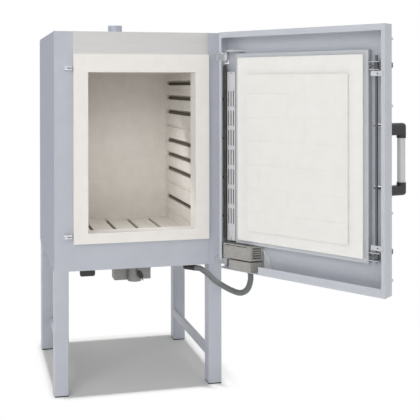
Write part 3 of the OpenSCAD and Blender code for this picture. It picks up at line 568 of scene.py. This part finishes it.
class Workshop:
    """Keeps the materials, dresses the frame's nodes, and turns shapes into pieces."""

    def __init__(self) -> None:
        """Starts with no material made, and notes the record's slot of each node."""
        self.materials: dict[str, bpy.types.Material] = {}
        self.slots: dict[str, str] = {
            entry["node"]: entry["material_slot"] for entry in frame["record"]["subparts"]
        }

    def finish(self, key: str) -> bpy.types.Material:
        """Gives the material of a finish, and makes it the first time.

        Args:
            key: The finish's key.

        Returns:
            The material.
        """
        if key not in self.materials:
            self.materials[key] = FINISHES[key].material()
        return self.materials[key]

    def dress(self, node: str, key: str) -> None:
        """Gives a frame node its material, and softens its edges.

        Args:
            node: The node's name.
            key: The finish's key.
        """
        piece = frame["nodes"][node]
        mesh = piece.data
        if not mesh.materials:
            mesh.materials.append(None)
        for index in range(len(mesh.materials)):
            mesh.materials[index] = self.finish(key)
        weld = piece.modifiers.new("weld", "WELD")
        weld.merge_threshold = CAD_WELD
        edge_mm = EDGES_MM.get(self.slots[node], 0.0)
        if edge_mm:
            bevel = piece.modifiers.new("edge", "BEVEL")
            bevel.width = edge_mm * MM
            bevel.segments = 2
            bevel.limit_method = "ANGLE"
            bevel.angle_limit = BEVEL_ANGLE
            bevel.harden_normals = False
        soften(piece)
        if edge_mm:
            level = piece.modifiers.new("level faces", "WEIGHTED_NORMAL")
            level.keep_sharp = True

    def dress_frame(self) -> None:
        """Dresses every node of the frame."""
        for key, nodes in FINISHED_NODES.items():
            for node in nodes:
                self.dress(node, key)

    def piece(
        self,
        name: str,
        mesh: Shape,
        key: str,
        body: str,
        slot: str,
        place: Callable[[Shape], None] | None = None,
    ) -> bpy.types.Object:
        """Makes an object of a finished shape and lets it ride on a body.

        Args:
            name: The piece's name.
            mesh: The shape, which is freed.
            key: The finish's key.
            body: The body that carries it.
            slot: The record's material slot; not used.
            place: What moves the shape to its place.

        Returns:
            The object.
        """
        if place:
            place(mesh)
        bmesh.ops.remove_doubles(mesh, verts=mesh.verts, dist=SAME_POINT)
        bmesh.ops.recalc_face_normals(mesh, faces=mesh.faces)
        data = bpy.data.meshes.new(name)
        mesh.to_mesh(data)
        mesh.free()
        data.materials.append(self.finish(key))
        piece = shown(name, data)
        soften(piece)
        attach(piece, body)
        log.info("%s: %d faces on %s", name, len(data.polygons), body)
        return piece


def move(shape: Shape, way: Sequence[float]) -> None:
    """Moves a whole shape by a way in metres."""
    bmesh.ops.translate(shape, verts=shape.verts, vec=way)


def turn(shape: Shape, angle: float, axis: str, centre: Sequence[float] = (0, 0, 0)) -> None:
    """Turns a whole shape about one of the axes through a centre."""
    matrix = Matrix.Rotation(angle, 3, axis)
    bmesh.ops.rotate(shape, verts=shape.verts, cent=centre, matrix=matrix)


def on_body(mesh: Shape) -> None:
    """Moves a shape from the casing's corner to the kiln's own axes."""
    move(mesh, CORNER)


def on_door(mesh: Shape) -> None:
    """Turns a shape of the closed door to where the door stands open."""
    turn(mesh, DOOR_OPEN, "Z", HINGE)
    on_body(mesh)


def on_latch(mesh: Shape) -> None:
    """Puts a shape drawn about the latch rod, with +X along the handle, in place.

    Args:
        mesh: The shape.
    """
    turn(mesh, HANDLE_LEAN, "Z")
    move(mesh, ROD)
    on_door(mesh)


def turned(profile: Sequence[Pair], steps: int = 24) -> Shape:
    """Spins a half outline about +Z into a closed round shape.

    Args:
        profile: Radius and height pairs in millimetres, from the axis and back to it.
        steps: The number of sides.

    Returns:
        The round shape.
    """
    mesh = bmesh.new()
    points = [mesh.verts.new((radius * MM, 0.0, height * MM)) for radius, height in profile]
    edges = [mesh.edges.new(pair) for pair in zip(points, points[1:])]
    bmesh.ops.spin(
        mesh,
        geom=points + edges,
        cent=(0, 0, 0),
        axis=(0, 0, 1),
        angle=math.tau,
        steps=steps,
        use_merge=True,
        use_duplicate=False,
    )
    bmesh.ops.remove_doubles(mesh, verts=mesh.verts, dist=SAME_POINT)
    return mesh


def join(shapes: Iterable[Shape]) -> Shape:
    """Puts several shapes into one bmesh and frees them.

    Args:
        shapes: The shapes.

    Returns:
        One bmesh with all of them.
    """
    whole = bmesh.new()
    for shape in shapes:
        data = bpy.data.meshes.new("part")
        shape.to_mesh(data)
        shape.free()
        whole.from_mesh(data)
        bpy.data.meshes.remove(data)
    return whole


def bar(low: Point, high: Point, edge: float) -> Shape:
    """Makes a box between two corners, with softened edges.

    Args:
        low: The lowest corner in millimetres.
        high: The highest corner in millimetres.
        edge: The width of the bevel in millimetres.

    Returns:
        The box.
    """
    mesh = bmesh.new()
    bmesh.ops.create_cube(mesh, size=1.0)
    size = [(b - a) * MM for a, b in zip(low, high)]
    middle = [(a + b) / 2 * MM for a, b in zip(low, high)]
    bmesh.ops.scale(mesh, verts=mesh.verts, vec=size)
    move(mesh, middle)
    bmesh.ops.bevel(
        mesh,
        geom=mesh.edges[:] + mesh.verts[:],
        offset=edge * MM,
        offset_type="OFFSET",
        segments=2,
        profile=0.5,
        affect="EDGES",
        clamp_overlap=True,
        material=-1,
    )
    return mesh


def lofted(rings: Sequence[Sequence[Point]]) -> Shape:
    """Joins closed rings of equal length into one closed shape.

    Args:
        rings: The rings in order, each a list of points in millimetres.

    Returns:
        The closed shape.
    """
    mesh = bmesh.new()
    loops = []
    for ring in rings:
        verts = [mesh.verts.new([value * MM for value in point]) for point in ring]
        loops.append([mesh.edges.new(pair) for pair in zip(verts, verts[1:] + verts[:1])])
    for low, high in zip(loops, loops[1:]):
        bmesh.ops.bridge_loops(mesh, edges=low + high)
    bmesh.ops.holes_fill(mesh, edges=loops[0] + loops[-1], sides=len(rings[0]))
    return mesh


def pan_head(radius: float, height: float) -> Shape:
    """Makes a domed screw head with a round recess, standing on +Z.

    Args:
        radius: The head's radius in millimetres.
        height: The head's height in millimetres.

    Returns:
        The head, with its underside just below 0.
    """
    foot = -0.2
    dome = ((1.0, 0.35), (0.86, 0.75), (0.55, 1.0), (0.22, 1.0), (0.14, 0.45), (0.0, 0.45))
    profile = [(0.0, foot), (radius, foot)]
    profile += [(radius * across, height * up) for across, up in dome]
    return turned(profile, steps=20)


def facing(mesh: Shape, place: Point, direction: Point) -> Shape:
    """Turns a shape's +Z to a direction and moves it to a place.

    Args:
        mesh: The shape, which stands on +Z.
        place: Where its underside's middle goes, in millimetres.
        direction: Where its +Z points.

    Returns:
        The same shape.
    """
    matrix = Vector((0, 0, 1)).rotation_difference(Vector(direction)).to_matrix()
    bmesh.ops.rotate(mesh, verts=mesh.verts, cent=(0, 0, 0), matrix=matrix)
    move(mesh, Vector(place) * MM)
    return mesh


def screws(head: Pair, places: Iterable[Point], direction: Point) -> Shape:
    """Makes a set of equal screw or rivet heads that face the same way.

    Args:
        head: The radius and the height of a head, in millimetres.
        places: Where each head goes, in millimetres.
        direction: Where the heads point.

    Returns:
        All the heads in one shape.
    """
    return join(facing(pan_head(*head), place, direction) for place in places)


def coil(radius: float, wire: float, pitch: float, length: float) -> Shape:
    """Winds a wire along +Z.

    Args:
        radius: The radius of the wire's middle line in millimetres.
        wire: The wire's radius in millimetres.
        pitch: The distance between turns in millimetres.
        length: The length of the winding in millimetres.

    Returns:
        The winding, closed at its two ends.
    """
    sides, steps_a_turn = 6, 10
    mesh = bmesh.new()
    bmesh.ops.create_circle(mesh, segments=sides, radius=wire * MM)
    turn(mesh, math.pi / 2, "X")
    move(mesh, (radius * MM, 0, 0))
    turns = length / pitch
    steps = round(turns * steps_a_turn)
    bmesh.ops.spin(
        mesh,
        geom=mesh.verts[:] + mesh.edges[:],
        cent=(0, 0, 0),
        axis=(0, 0, 1),
        dvec=(0, 0, length * MM / steps),
        angle=math.tau * turns,
        steps=steps,
        use_merge=False,
        use_duplicate=False,
    )
    ends = [edge for edge in mesh.edges if edge.is_boundary]
    bmesh.ops.holes_fill(mesh, edges=ends, sides=sides)
    return mesh


def swept(line: Sequence[Vector], radii: Sequence[float], sides: int) -> Shape:
    """Extrudes a ring along a line, with its own radius at each point.

    Args:
        line: The points of the middle line, in metres.
        radii: The radius at each point, in metres.
        sides: The number of sides of the ring.

    Returns:
        The closed tube.
    """
    mesh = bmesh.new()
    loop = bmesh.ops.create_circle(mesh, segments=sides, radius=radii[0])["verts"]
    edges = mesh.edges[:]
    heading, centre, size = Vector((0, 0, 1)), Vector((0, 0, 0)), radii[0]
    last = len(line) - 1
    for i, spot in enumerate(line):
        if i:
            grown = bmesh.ops.extrude_edge_only(mesh, edges=edges)["geom"]
            loop = [item for item in grown if isinstance(item, bmesh.types.BMVert)]
            edges = [item for item in grown if isinstance(item, bmesh.types.BMEdge)]
        way = (line[min(i + 1, last)] - line[max(i - 1, 0)]).normalized()
        matrix = heading.rotation_difference(way).to_matrix()
        bmesh.ops.translate(mesh, verts=loop, vec=spot - centre)
        bmesh.ops.rotate(mesh, verts=loop, cent=spot, matrix=matrix)
        for vert in loop:
            vert.co = spot + (vert.co - spot) * (radii[i] / size)
        centre, size, heading = spot, radii[i], way
    bmesh.ops.holes_fill(mesh, edges=[e for e in mesh.edges if e.is_boundary], sides=sides)
    return mesh


def smooth_line(stops: Sequence[Vector], steps: int = 12) -> list[Vector]:
    """Draws a smooth line through points, as the part's source does for the hose.

    Args:
        stops: The points that the line passes through.
        steps: How many pieces lie between two of them.

    Returns:
        The line's points.
    """
    points = []
    for i in range(len(stops) - 1):
        a, b = stops[max(i - 1, 0)], stops[i]
        c, d = stops[i + 1], stops[min(i + 2, len(stops) - 1)]
        for step in range(steps):
            t = step / steps
            squared = (a * 2 - b * 5 + c * 4 - d) * t**2
            cubed = (b * 3 - a - c * 3 + d) * t**3
            points.append((b * 2 + (c - a) * t + squared + cubed) / 2)
    points.append(stops[-1])
    return points


@dataclass
class Stage:
    """The plain floor, the soft studio light and the photograph's camera."""

    # The camera, with its turns in radians and its place from the casing's corner.
    lens_mm: float = 65.715
    shift: Pair = (0.1700, -0.2935)
    yaw: float = 0.214845
    pitch: float = -0.003111
    roll: float = -0.001694
    eye_mm: Point = (-345.1, -3276.9, 1340.8)
    # The middle of the kiln's footprint, and half its size, in metres.
    footprint: tuple[Point, Point] = ((0.375, 0.325, 0.0), (0.385, 0.355, 0.0))
    # How far outside it the shadow starts to fade, and where it is gone.
    shadow_m: Pair = (0.005, 0.07)
    # How strongly the sky lights the kiln, from level and below to straight up.
    sky: Pair = (0.50, 0.72)

    def camera(self) -> None:
        """Makes the camera where the photograph was taken from."""
        data = bpy.data.cameras.new("camera")
        data.sensor_width = 36.0
        data.lens = self.lens_mm
        data.shift_x, data.shift_y = self.shift
        data.clip_start, data.clip_end = 0.1, 100.0
        camera = shown("camera", data)
        camera.location = Vector(self.eye_mm) * MM + CORNER
        aim = (
            Matrix.Rotation(-self.yaw, 3, "Z")
            @ Matrix.Rotation(math.pi / 2 + self.pitch, 3, "X")
            @ Matrix.Rotation(self.roll, 3, "Z")
        )
        camera.rotation_euler = aim.to_euler()
        bpy.context.scene.camera = camera

    def seen(self, tree: bpy.types.NodeTree) -> Socket:
        """Tells the rays that show the background from those that only light the kiln.

        Args:
            tree: The node tree to add to.

        Returns:
            1 for a ray of the camera, of gloss or through glass, and 0 for the rest.
        """
        rays = add(tree, "LightPath").outputs
        either = rays["Is Camera Ray"]
        for kind in ("Is Glossy Ray", "Is Transmission Ray"):
            either = add(tree, "Math", {0: either, 1: rays[kind]}, operation="MAXIMUM").outputs[0]
        return either

    def floor(self) -> None:
        """Makes a pale floor that keeps the kiln's shadow and turns plain white away from it."""
        mesh = bmesh.new()
        bmesh.ops.create_grid(mesh, x_segments=1, y_segments=1, size=30.0)
        data = bpy.data.meshes.new("floor")
        mesh.to_mesh(data)
        mesh.free()
        floor = shown("floor", data)
        material = bpy.data.materials.new("pale studio floor")
        material.use_nodes = True
        tree = material.node_tree
        tree.nodes.remove(tree.nodes["Principled BSDF"])
        way = add(tree, "TexCoord").outputs["Object"]
        matt = add(tree, "BsdfDiffuse", {"Color": linear("dededd")}).outputs[0]
        white = add(tree, "Emission", {"Color": (1, 1, 1, 1), "Strength": 1.0}).outputs[0]
        middle, half = self.footprint
        # The way from the middle becomes the way outside the footprint, and 0 inside it.
        for operation, other in (
            ("SUBTRACT", middle), ("ABSOLUTE", None), ("SUBTRACT", half), ("MAXIMUM", (0, 0, 0)),
        ):
            inputs = {0: way} if other is None else {0: way, 1: other}
            way = add(tree, "VectorMath", inputs, operation=operation).outputs[0]
        away = add(tree, "VectorMath", {0: way}, operation="LENGTH").outputs["Value"]
        fade = {"Value": away, "From Min": self.shadow_m[0], "From Max": self.shadow_m[1]}
        far = add(tree, "MapRange", fade, interpolation_type="SMOOTHSTEP").outputs["Result"]
        share = add(tree, "Math", {0: self.seen(tree), 1: far}, operation="MULTIPLY").outputs[0]
        mixed = add(tree, "MixShader", {0: share, 1: matt, 2: white})
        tree.links.new(mixed.outputs[0], tree.nodes["Material Output"].inputs["Surface"])
        data.materials.append(material)

    def light(self, name: str, place: Point, size: float, power: float, aim: Point) -> None:
        """Adds one square softbox.

        Args:
            name: The lamp's name.
            place: Where it hangs, in metres.
            size: Its side in metres.
            power: Its power in watts.
            aim: The point it looks at, in metres.
        """
        data = bpy.data.lights.new(name, "AREA")
        data.shape = "SQUARE"
        data.size = size
        data.energy = power
        lamp = shown(name, data)
        lamp.location = place
        lamp.visible_camera = False
        lamp.rotation_euler = (Vector(aim) - Vector(place)).to_track_quat("-Z", "Y").to_euler()

    def sun(self, power: float, angle_deg: float) -> None:
        """Adds the overhead light that draws the shadow under the kiln.

        Args:
            power: Its strength.
            angle_deg: How wide it looks, which softens the shadow's edge.
        """
        data = bpy.data.lights.new("overhead", "SUN")
        data.energy = power
        data.angle = math.radians(angle_deg)
        shown("overhead", data)

    def world(self) -> None:
        """Makes a sky that looks white, and lights the kiln with a soft grey, lighter above."""
        world = bpy.data.worlds.new("studio")
        bpy.context.scene.world = world
        world.use_nodes = True
        tree = world.node_tree
        way = add(tree, "TexCoord").outputs["Generated"]
        height = add(tree, "SeparateXYZ", {0: way}).outputs["Z"]
        low, high = self.sky
        grey = add(tree, "MapRange", {"Value": height, "To Min": low, "To Max": high})
        ends = {"Value": self.seen(tree), "To Min": grey.outputs["Result"], "To Max": 1.0}
        strength = add(tree, "MapRange", ends)
        background = tree.nodes["Background"]
        background.inputs["Color"].default_value = (1, 1, 1, 1)
        tree.links.new(strength.outputs["Result"], background.inputs["Strength"])

    def build(self) -> None:
        """Builds the whole stage."""
        bpy.context.scene.view_settings.view_transform = "Standard"
        self.camera()
        self.floor()
        self.world()
        self.sun(power=2.1, angle_deg=2.0)
        self.light("left softbox", (-2.2, -3.6, 3.2), size=2.4, power=58.0, aim=(0.5, 0.2, 1.0))
        self.light("chamber fill", (0.33, 0.12, 0.98), size=0.42, power=0.72, aim=(0.42, 0.5, 0.71))


@dataclass
class Hose:
    """The ribbed conduit between the kiln's gland and the door's, from the casing's corner."""

    # Its size, its ribs, and how much narrower it is in the glands.
    diameter: float = 25.0
    pitch: float = 4.2
    groove: float = 1.7
    cuff: float = 0.3
    sides: int = 20
    start: Point = (632.733, 18.033, 520.0)
    start_turn: float = math.radians(-46.0)
    run: tuple[Point, ...] = (
        (675, -27, 503), (700, -54, 478), (735, -90, 456), (760, -117, 445),
        (784, -143, 441), (803, -162, 453), (814, -174, 476),
    )
    # Where it meets the door's gland, on the closed door.
    entry: Point = (614.0, -36.0, 532.0)

    def end(self) -> Vector:
        """Gives where the hose meets the open door's gland.

        Returns:
            The point, in millimetres from the casing's corner.
        """
        spot = Vector(self.entry) - HINGE / MM
        spot.rotate(Matrix.Rotation(DOOR_OPEN, 3, "Z"))
        return spot + HINGE / MM

    def line(self) -> list[Vector]:
        """Gives the points of the middle line, in metres in the kiln's axes.

        Returns:
            The points, which leave the gland straight and stand up into the door's.
        """
        end = self.end()
        begin = Vector(self.start)
        heading = Vector((math.cos(self.start_turn), math.sin(self.start_turn), 0.0))
        lead = heading * self.diameter
        rise = Vector((0, 0, self.diameter))
        stops = [begin, begin + lead / 2, begin + lead, *map(Vector, self.run)]
        stops += [end - rise, end - rise / 2, end]
        return [stop * MM + CORNER for stop in smooth_line(stops)]

    def even(self, points: list[Vector], step: float) -> list[Vector]:
        """Spreads points evenly along a line.

        Args:
            points: The line's points.
            step: The distance wanted, in metres.

        Returns:
            Points at equal distances, from the first to the last.
        """
        lengths = [0.0]
        for a, b in zip(points, points[1:]):
            lengths.append(lengths[-1] + (b - a).length)
        count = max(2, round(lengths[-1] / step))
        spread, k = [], 0
        for i in range(count + 1):
            target = lengths[-1] * i / count
            while k < len(points) - 2 and lengths[k + 1] < target:
                k += 1
            share = (target - lengths[k]) / max(lengths[k + 1] - lengths[k], 1e-9)
            spread.append(points[k].lerp(points[k + 1], min(max(share, 0.0), 1.0)))
        return spread

    def build(self, shop: Workshop) -> None:
        """Sweeps a ring along the line, with a rib at each step of the pitch.

        Args:
            shop: The workshop that makes the piece.
        """
        path = self.line()
        crest, root = self.diameter / 2, self.diameter / 2 - self.groove
        heights = [crest, crest, root, root]
        rings = self.even(path, self.pitch * MM / len(heights))
        radii = [heights[i % len(heights)] * MM for i in range(len(rings))]
        for end in (0, 1, -2, -1):
            radii[end] = (crest - self.cuff) * MM
        mesh = swept(rings, radii, self.sides)
        piece = shop.piece("ribbed_hose", mesh, "hose", "kiln", shop.slots["hose"])
        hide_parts("hose")


@dataclass
class Elements:
    """Wire wound on ceramic rods, in the grooves of the walls and the floor."""

    # The outer diameter of the winding, and the radii of its wire and of the rod.
    outer: float = 14.0
    wire: float = 1.5
    rod: float = 3.9
    pitch: float = 6.4
    # How much of each rod's end has no wire, and how far the winding is clear of the groove.
    bare: float = 8.0
    clear: float = 1.0
    # The walls' grooves: the rows that are in use, the highest one's middle, and its size.
    rows: tuple[int, ...] = (0, 1, 2, 4, 5, 6, 8)
    first_z: float = 1347.0
    row_pitch: float = 71.5
    groove_h: float = 22.0
    groove_d: float = 21.0
    # The two walls' faces, the ends of all the grooves, and the grooves of the floor.
    walls: Pair = (134.5, 634.5)
    span_y: Pair = (96.0, 533.0)
    floor_x: tuple[float, ...] = (206.5, 315.5, 424.5, 533.5)
    floor_z: float = 647.0

    def winding(self, length: float) -> Shape:
        """Winds the wire for one rod, along +Z.

        Args:
            length: The rod's length in millimetres.

        Returns:
            The winding, which leaves both ends of the rod bare.
        """
        shape = coil(self.outer / 2 - self.wire, self.wire, self.pitch, length - 2 * self.bare)
        move(shape, (0, 0, self.bare * MM))
        return shape

    def core(self, length: float) -> Shape:
        """Makes the rod of a length in millimetres, along +Z."""
        return turned([(0, 0), (self.rod, 0), (self.rod, length), (0, length)], steps=12)

    def wall_rods(self, wall: float, inward: int) -> list[Pair]:
        """Lists the rods in the grooves of one wall.

        Args:
            wall: Where the wall's face is across the kiln, in millimetres.
            inward: 1 where the chamber is to the right of the wall, or -1.

        Returns:
            The place across and the height of each rod, in millimetres.
        """
        x = wall - inward * (self.groove_d - self.outer / 2 - self.clear)
        top = self.first_z - self.groove_h / 2 + self.outer / 2
        return [(x, top - row * self.row_pitch) for row in self.rows]

    def build(self, shop: Workshop) -> None:
        """Builds a winding and a set of rods for each wall and for the floor.

        Args:
            shop: The workshop that makes the pieces.
        """
        places = {
            "elements_left": self.wall_rods(self.walls[0], 1),
            "elements_right": self.wall_rods(self.walls[1], -1),
            "elements_floor": [(x, self.floor_z) for x in self.floor_x],
        }
        length = self.span_y[1] - self.span_y[0]
        for kind, one, key in (
            ("wire", self.winding(length), "wire"), ("rod", self.core(length), "ceramic_rod"),
        ):
            turn(one, -math.pi / 2, "X")
            move(one, (0, self.span_y[0] * MM, 0))
            for node, rods in places.items():
                shapes = []
                for x, z in rods:
                    shape = one.copy()
                    move(shape, (x * MM, 0, z * MM))
                    shapes.append(shape)
                whole, slot = join(shapes), shop.slots[node]
                piece = shop.piece(f"{node}_{kind}", whole, key, "kiln", slot, on_body)
                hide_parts(node)
            one.free()


@dataclass
class Casing:
    """Screws of the rear cover and rivets of the exhaust stub."""

    # The rear cover's back and its screws, which are let into it so that they add
    # nothing to the kiln's depth.
    columns_x: tuple[float, ...] = (14.0, 255.0, 495.0, 736.0)
    rows_z: tuple[float, ...] = (556.0, 1050.0, 1555.0)
    cover_y: float = 692.0
    set_in: float = 2.3
    screw_head: Pair = (4.2, 2.4)
    # The rivets' circle on the stub's foot: its middle, radius and first angle.
    circle: Point = (375.0, 589.0, 1573.0)
    radius: float = 45.0
    first_angle: float = 0.3
    rivets: int = 6
    rivet_head: Pair = (2.6, 1.4)

    def build(self, shop: Workshop) -> None:
        """Builds both sets of heads.

        Args:
            shop: The workshop that makes the pieces.
        """
        y = self.cover_y - self.set_in
        places = [(x, y, z) for x in self.columns_x for z in self.rows_z]
        heads = screws(self.screw_head, places, BACKWARD)
        shop.piece("rear_cover_screws", heads, "screw", "kiln", "fitting_zinc", on_body)
        x, y, z = self.circle
        angles = [math.tau * i / self.rivets + self.first_angle for i in range(self.rivets)]
        round_stub = [
            (x + self.radius * math.cos(a), y + self.radius * math.sin(a), z) for a in angles
        ]
        heads = screws(self.rivet_head, round_stub, UPWARD)
        shop.piece("stub_rivets", heads, "screw", "kiln", "fitting_zinc", on_body)


@dataclass
class Door:
    """Screws, caps, knobs and wiring of the door, drawn on the closed door."""

    # The outer face, and the white caps and the knobs near its free edge, as half outlines.
    skin_y: float = -66.0
    cap_x: float = 9.8
    caps_z: tuple[float, ...] = (1512.0, 1257.0, 850.0, 595.0)
    cap: tuple[Pair, ...] = (
        (0.0, 0.0), (3.4, 0.0), (3.4, 9.5), (5.2, 10.0), (5.5, 12.0), (5.5, 15.0), (4.4, 16.6),
        (0.0, 17.0),
    )
    knob_x: float = 23.0
    knobs_z: Pair = (1412.0, 705.0)
    knob: tuple[Pair, ...] = (
        (0, 0), (8, 0), (8, 5), (16, 5), (19, 7), (19.5, 12), (18, 15), (12, 17.5), (0, 18),
    )
    # A knob's flutes, their depth as a share of its radius, and the radius they start at.
    flutes: int = 8
    flute_depth: float = 0.035
    fluted_from: float = 15.0
    # The slotted cover over the wiring, and the screws of it and of the terminal boxes.
    wiring_z: Pair = (668.0, 1388.0)
    cover_screw_x: float = 711.0
    cover_screws_z: tuple[float, ...] = (1388.0, 668.0, 1140.0, 886.0)
    cover_y: float = -33.0
    cover_head: Pair = (3.0, 1.8)
    box_screws: tuple[Pair, ...] = (
        (607.0, 600.0), (726.0, 600.0), (607.0, 640.0), (726.0, 640.0), (607.0, 563.0),
        (698.0, 563.0),
    )
    box_y: float = -8.0
    box_head: Pair = (3.4, 2.0)
    # The cables under the cover: their places, width, depth, and the gap at the top.
    cables_x: tuple[float, ...] = (699.0, 712.0, 725.0)
    cable_w: float = 10.0
    cable_y: Pair = (-48.0, -38.0)
    cable_gap: float = 12.0
    # The loom: its place, radius and top, and the thickness and pitch of its wrap with
    # where each turn rises, ends and falls.
    loom_place: Pair = (743.5, -34.0)
    loom_radius: float = 7.5
    loom_top: float = 1428.0
    wrap: float = 1.2
    wrap_pitch: float = 6.0
    wrap_turn: Point = (1.0, 4.5, 5.5)
    # Its clips: their heights, how far they reach past its middle to the free side, the
    # hinge and the back, how far off the skin they are, and how high each is.
    clips_z: tuple[float, ...] = (760.0, 930.0, 1100.0, 1270.0)
    clip_reach: Point = (9.0, 8.0, 9.0)
    clip_off: float = 2.0
    clip_h: float = 9.0
    earth_wire: tuple[Point, ...] = (
        (568.0, -56.0, 643.0), (552.0, -44.0, 632.0), (534.0, -44.0, 610.0),
        (525.0, -48.0, 583.0), (522.0, -58.0, 556.0),
    )
    earth_radius: float = 1.9

    def fluted_knob(self) -> Shape:
        """Makes a fluted knob that stands on +Z.

        Returns:
            The knob, with its foot at 0.
        """
        grip = turned(self.knob, steps=48)
        for vert in grip.verts:
            angle = math.atan2(vert.co.y, vert.co.x)
            if math.hypot(vert.co.x, vert.co.y) > self.fluted_from * MM:
                pull = 1.0 - self.flute_depth * (1 + math.cos(self.flutes * angle))
                vert.co.x *= pull
                vert.co.y *= pull
        return grip

    def loom(self) -> Shape:
        """Makes the spiral-wrapped loom that stands along the hinge side.

        Returns:
            The loom, on the closed door.
        """
        low, high = self.wiring_z[0], self.loom_top
        outer, inner = self.loom_radius, self.loom_radius - self.wrap
        rise, end, fall = self.wrap_turn
        profile = [(0.0, low)]
        for i in range(int((high - low) / self.wrap_pitch)):
            z = low + self.wrap_pitch * i
            profile += [(inner, z), (outer, z + rise), (outer, z + end), (inner, z + fall)]
        profile.append((0.0, profile[-1][1]))
        shape = turned(profile, steps=14)
        move(shape, Vector((*self.loom_place, 0.0)) * MM)
        return shape

    def clips(self) -> Shape:
        """Makes the clips that hold the loom to the skin.

        Returns:
            The clips, on the closed door.
        """
        x, y = self.loom_place
        free, hinge, back = self.clip_reach
        foot = self.skin_y + self.clip_off
        return join(
            bar((x - free, foot, z), (x + hinge, y + back, z + self.clip_h), edge=1.0)
            for z in self.clips_z
        )

    def cables(self) -> Shape:
        """Makes the cables that lie side by side under the slotted cover.

        Returns:
            The cables, on the closed door.
        """
        low, high = self.wiring_z
        front, back = self.cable_y
        half, top = self.cable_w / 2, high - self.cable_gap
        return join(
            bar((x - half, front, low), (x + half, back, top), edge=3.0) for x in self.cables_x
        )

    def build(self, shop: Workshop) -> None:
        """Builds the caps and knobs on the outer face, the screws and the wiring.

        Args:
            shop: The workshop that makes the pieces.
        """
        caps = [
            facing(turned(self.cap), (self.cap_x, self.skin_y, z), FORWARD) for z in self.caps_z
        ]
        shop.piece("door_face_caps", join(caps), "cap", "door", "fitting_zinc", on_door)
        knobs = join(
            facing(self.fluted_knob(), (self.knob_x, self.skin_y, z), FORWARD)
            for z in self.knobs_z
        )
        slot = shop.slots["closure_knobs"]
        piece = shop.piece("fluted_knobs", knobs, "black", "door", slot, on_door)
        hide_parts("closure_knobs")
        places = [(self.cover_screw_x, self.cover_y, z) for z in self.cover_screws_z]
        covering = screws(self.cover_head, places, BACKWARD)
        places = [(x, self.box_y, z) for x, z in self.box_screws]
        boxed = screws(self.box_head, places, BACKWARD)
        line = smooth_line([Vector(stop) * MM for stop in self.earth_wire], steps=6)
        earth = swept(line, [self.earth_radius * MM] * len(line), sides=8)
        for name, shape, key, slot in (
            ("wiring_cover_screws", covering, "screw", "fitting_zinc"),
            ("terminal_box_screws", boxed, "screw", "fitting_zinc"),
            ("covered_cables", self.cables(), "loom", "grip_black"),
            ("hinge_side_loom", self.loom(), "loom", "grip_black"),
            ("loom_clips", self.clips(), "loom", "grip_black"),
            ("earth_wire", earth, "earth", "fitting_zinc"),
        ):
            shop.piece(name, shape, key, "door", slot, on_door)


@dataclass
class Grip:
    """The two moulded brackets of the grip, with the round edges that the photograph shows."""

    # From the latch rod: how far off the tube is, and where a bracket starts.
    reach: float = 120.0
    end_radius: float = 17.5
    foot: float = 50.0
    # The tube's socket: how far it stands out of the bracket and in it, and its chamfer.
    collar: float = 12.0
    sink: float = 8.0
    chamfer: Pair = (1.0, 1.5)
    # The rounding of the outer side, and of the side that holds the tube.
    round_mm: Pair = (13.0, 3.0)
    round_steps: int = 6
    end_steps: int = 24
    # Each bracket's outer side, and the way from there to the side that holds the tube.
    ends: tuple[tuple[str, float, float], ...] = (("upper", 1191.0, -46.0), ("lower", 913.0, 38.0))

    def outline(self, inset: float, height: float) -> list[Point]:
        """Draws the plan of a bracket at one height.

        Args:
            inset: How far the outline is drawn in, in millimetres.
            height: The height of the ring, in millimetres.

        Returns:
            The points, from the foot round the end and back to the foot.
        """
        radius = self.end_radius - inset
        arc = [math.pi * (i / self.end_steps - 0.5) for i in range(self.end_steps + 1)]
        end = [(self.reach + radius * math.cos(a), radius * math.sin(a), height) for a in arc]
        return [(self.foot, -radius, height), *end, (self.foot, radius, height)]

    def bracket(self, outer: float, height: float) -> Shape:
        """Makes one bracket between its rounded outer side and the side that holds the tube.

        Args:
            outer: The height of the outer side, in millimetres.
            height: The way from there to the tube's side, in millimetres.

        Returns:
            The bracket, drawn about the latch rod.
        """
        side = math.copysign(1.0, height)
        inner = outer + height
        turns = [math.pi / 2 * i / self.round_steps for i in range(self.round_steps + 1)]
        big, small = self.round_mm
        rings = [
            self.outline(big * (1 - math.sin(t)), outer + side * big * (1 - math.cos(t)))
            for t in turns
        ]
        rings += [
            self.outline(small * (1 - math.cos(t)), inner - side * small * (1 - math.sin(t)))
            for t in turns
        ]
        rim, top = self.end_radius, self.collar + self.sink
        narrow, low = rim - self.chamfer[0], top - self.chamfer[1]
        profile = [(0.0, 0.0), (rim, 0.0), (rim, low), (narrow, top), (0.0, top)]
        socket = turned(profile, steps=48)
        facing(socket, (self.reach, 0.0, inner - side * self.sink), (0, 0, side))
        return join([lofted(rings), socket])

    def build(self, shop: Workshop) -> None:
        """Builds both brackets in place of the plain ones.

        Args:
            shop: The workshop that makes the pieces.
        """
        for name, outer, height in self.ends:
            node = f"handle_bracket_{name}"
            shape, slot = self.bracket(outer, height), shop.slots[node]
            piece = shop.piece(f"moulded_bracket_{name}", shape, "black", "latch", slot, on_latch)
            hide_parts(node)


def main() -> None:
    """Builds the stage and the kiln, and logs each part as it is built."""
    logging.basicConfig(level=logging.INFO, format="%(name)s: %(message)s")
    shop = Workshop()
    Stage().build()
    shop.dress_frame()
    for part in (Hose(), Elements(), Casing(), Door(), Grip()):
        part.build(shop)
        log.info("built %s", type(part).__name__)


if __name__ == "__main__":
    main()
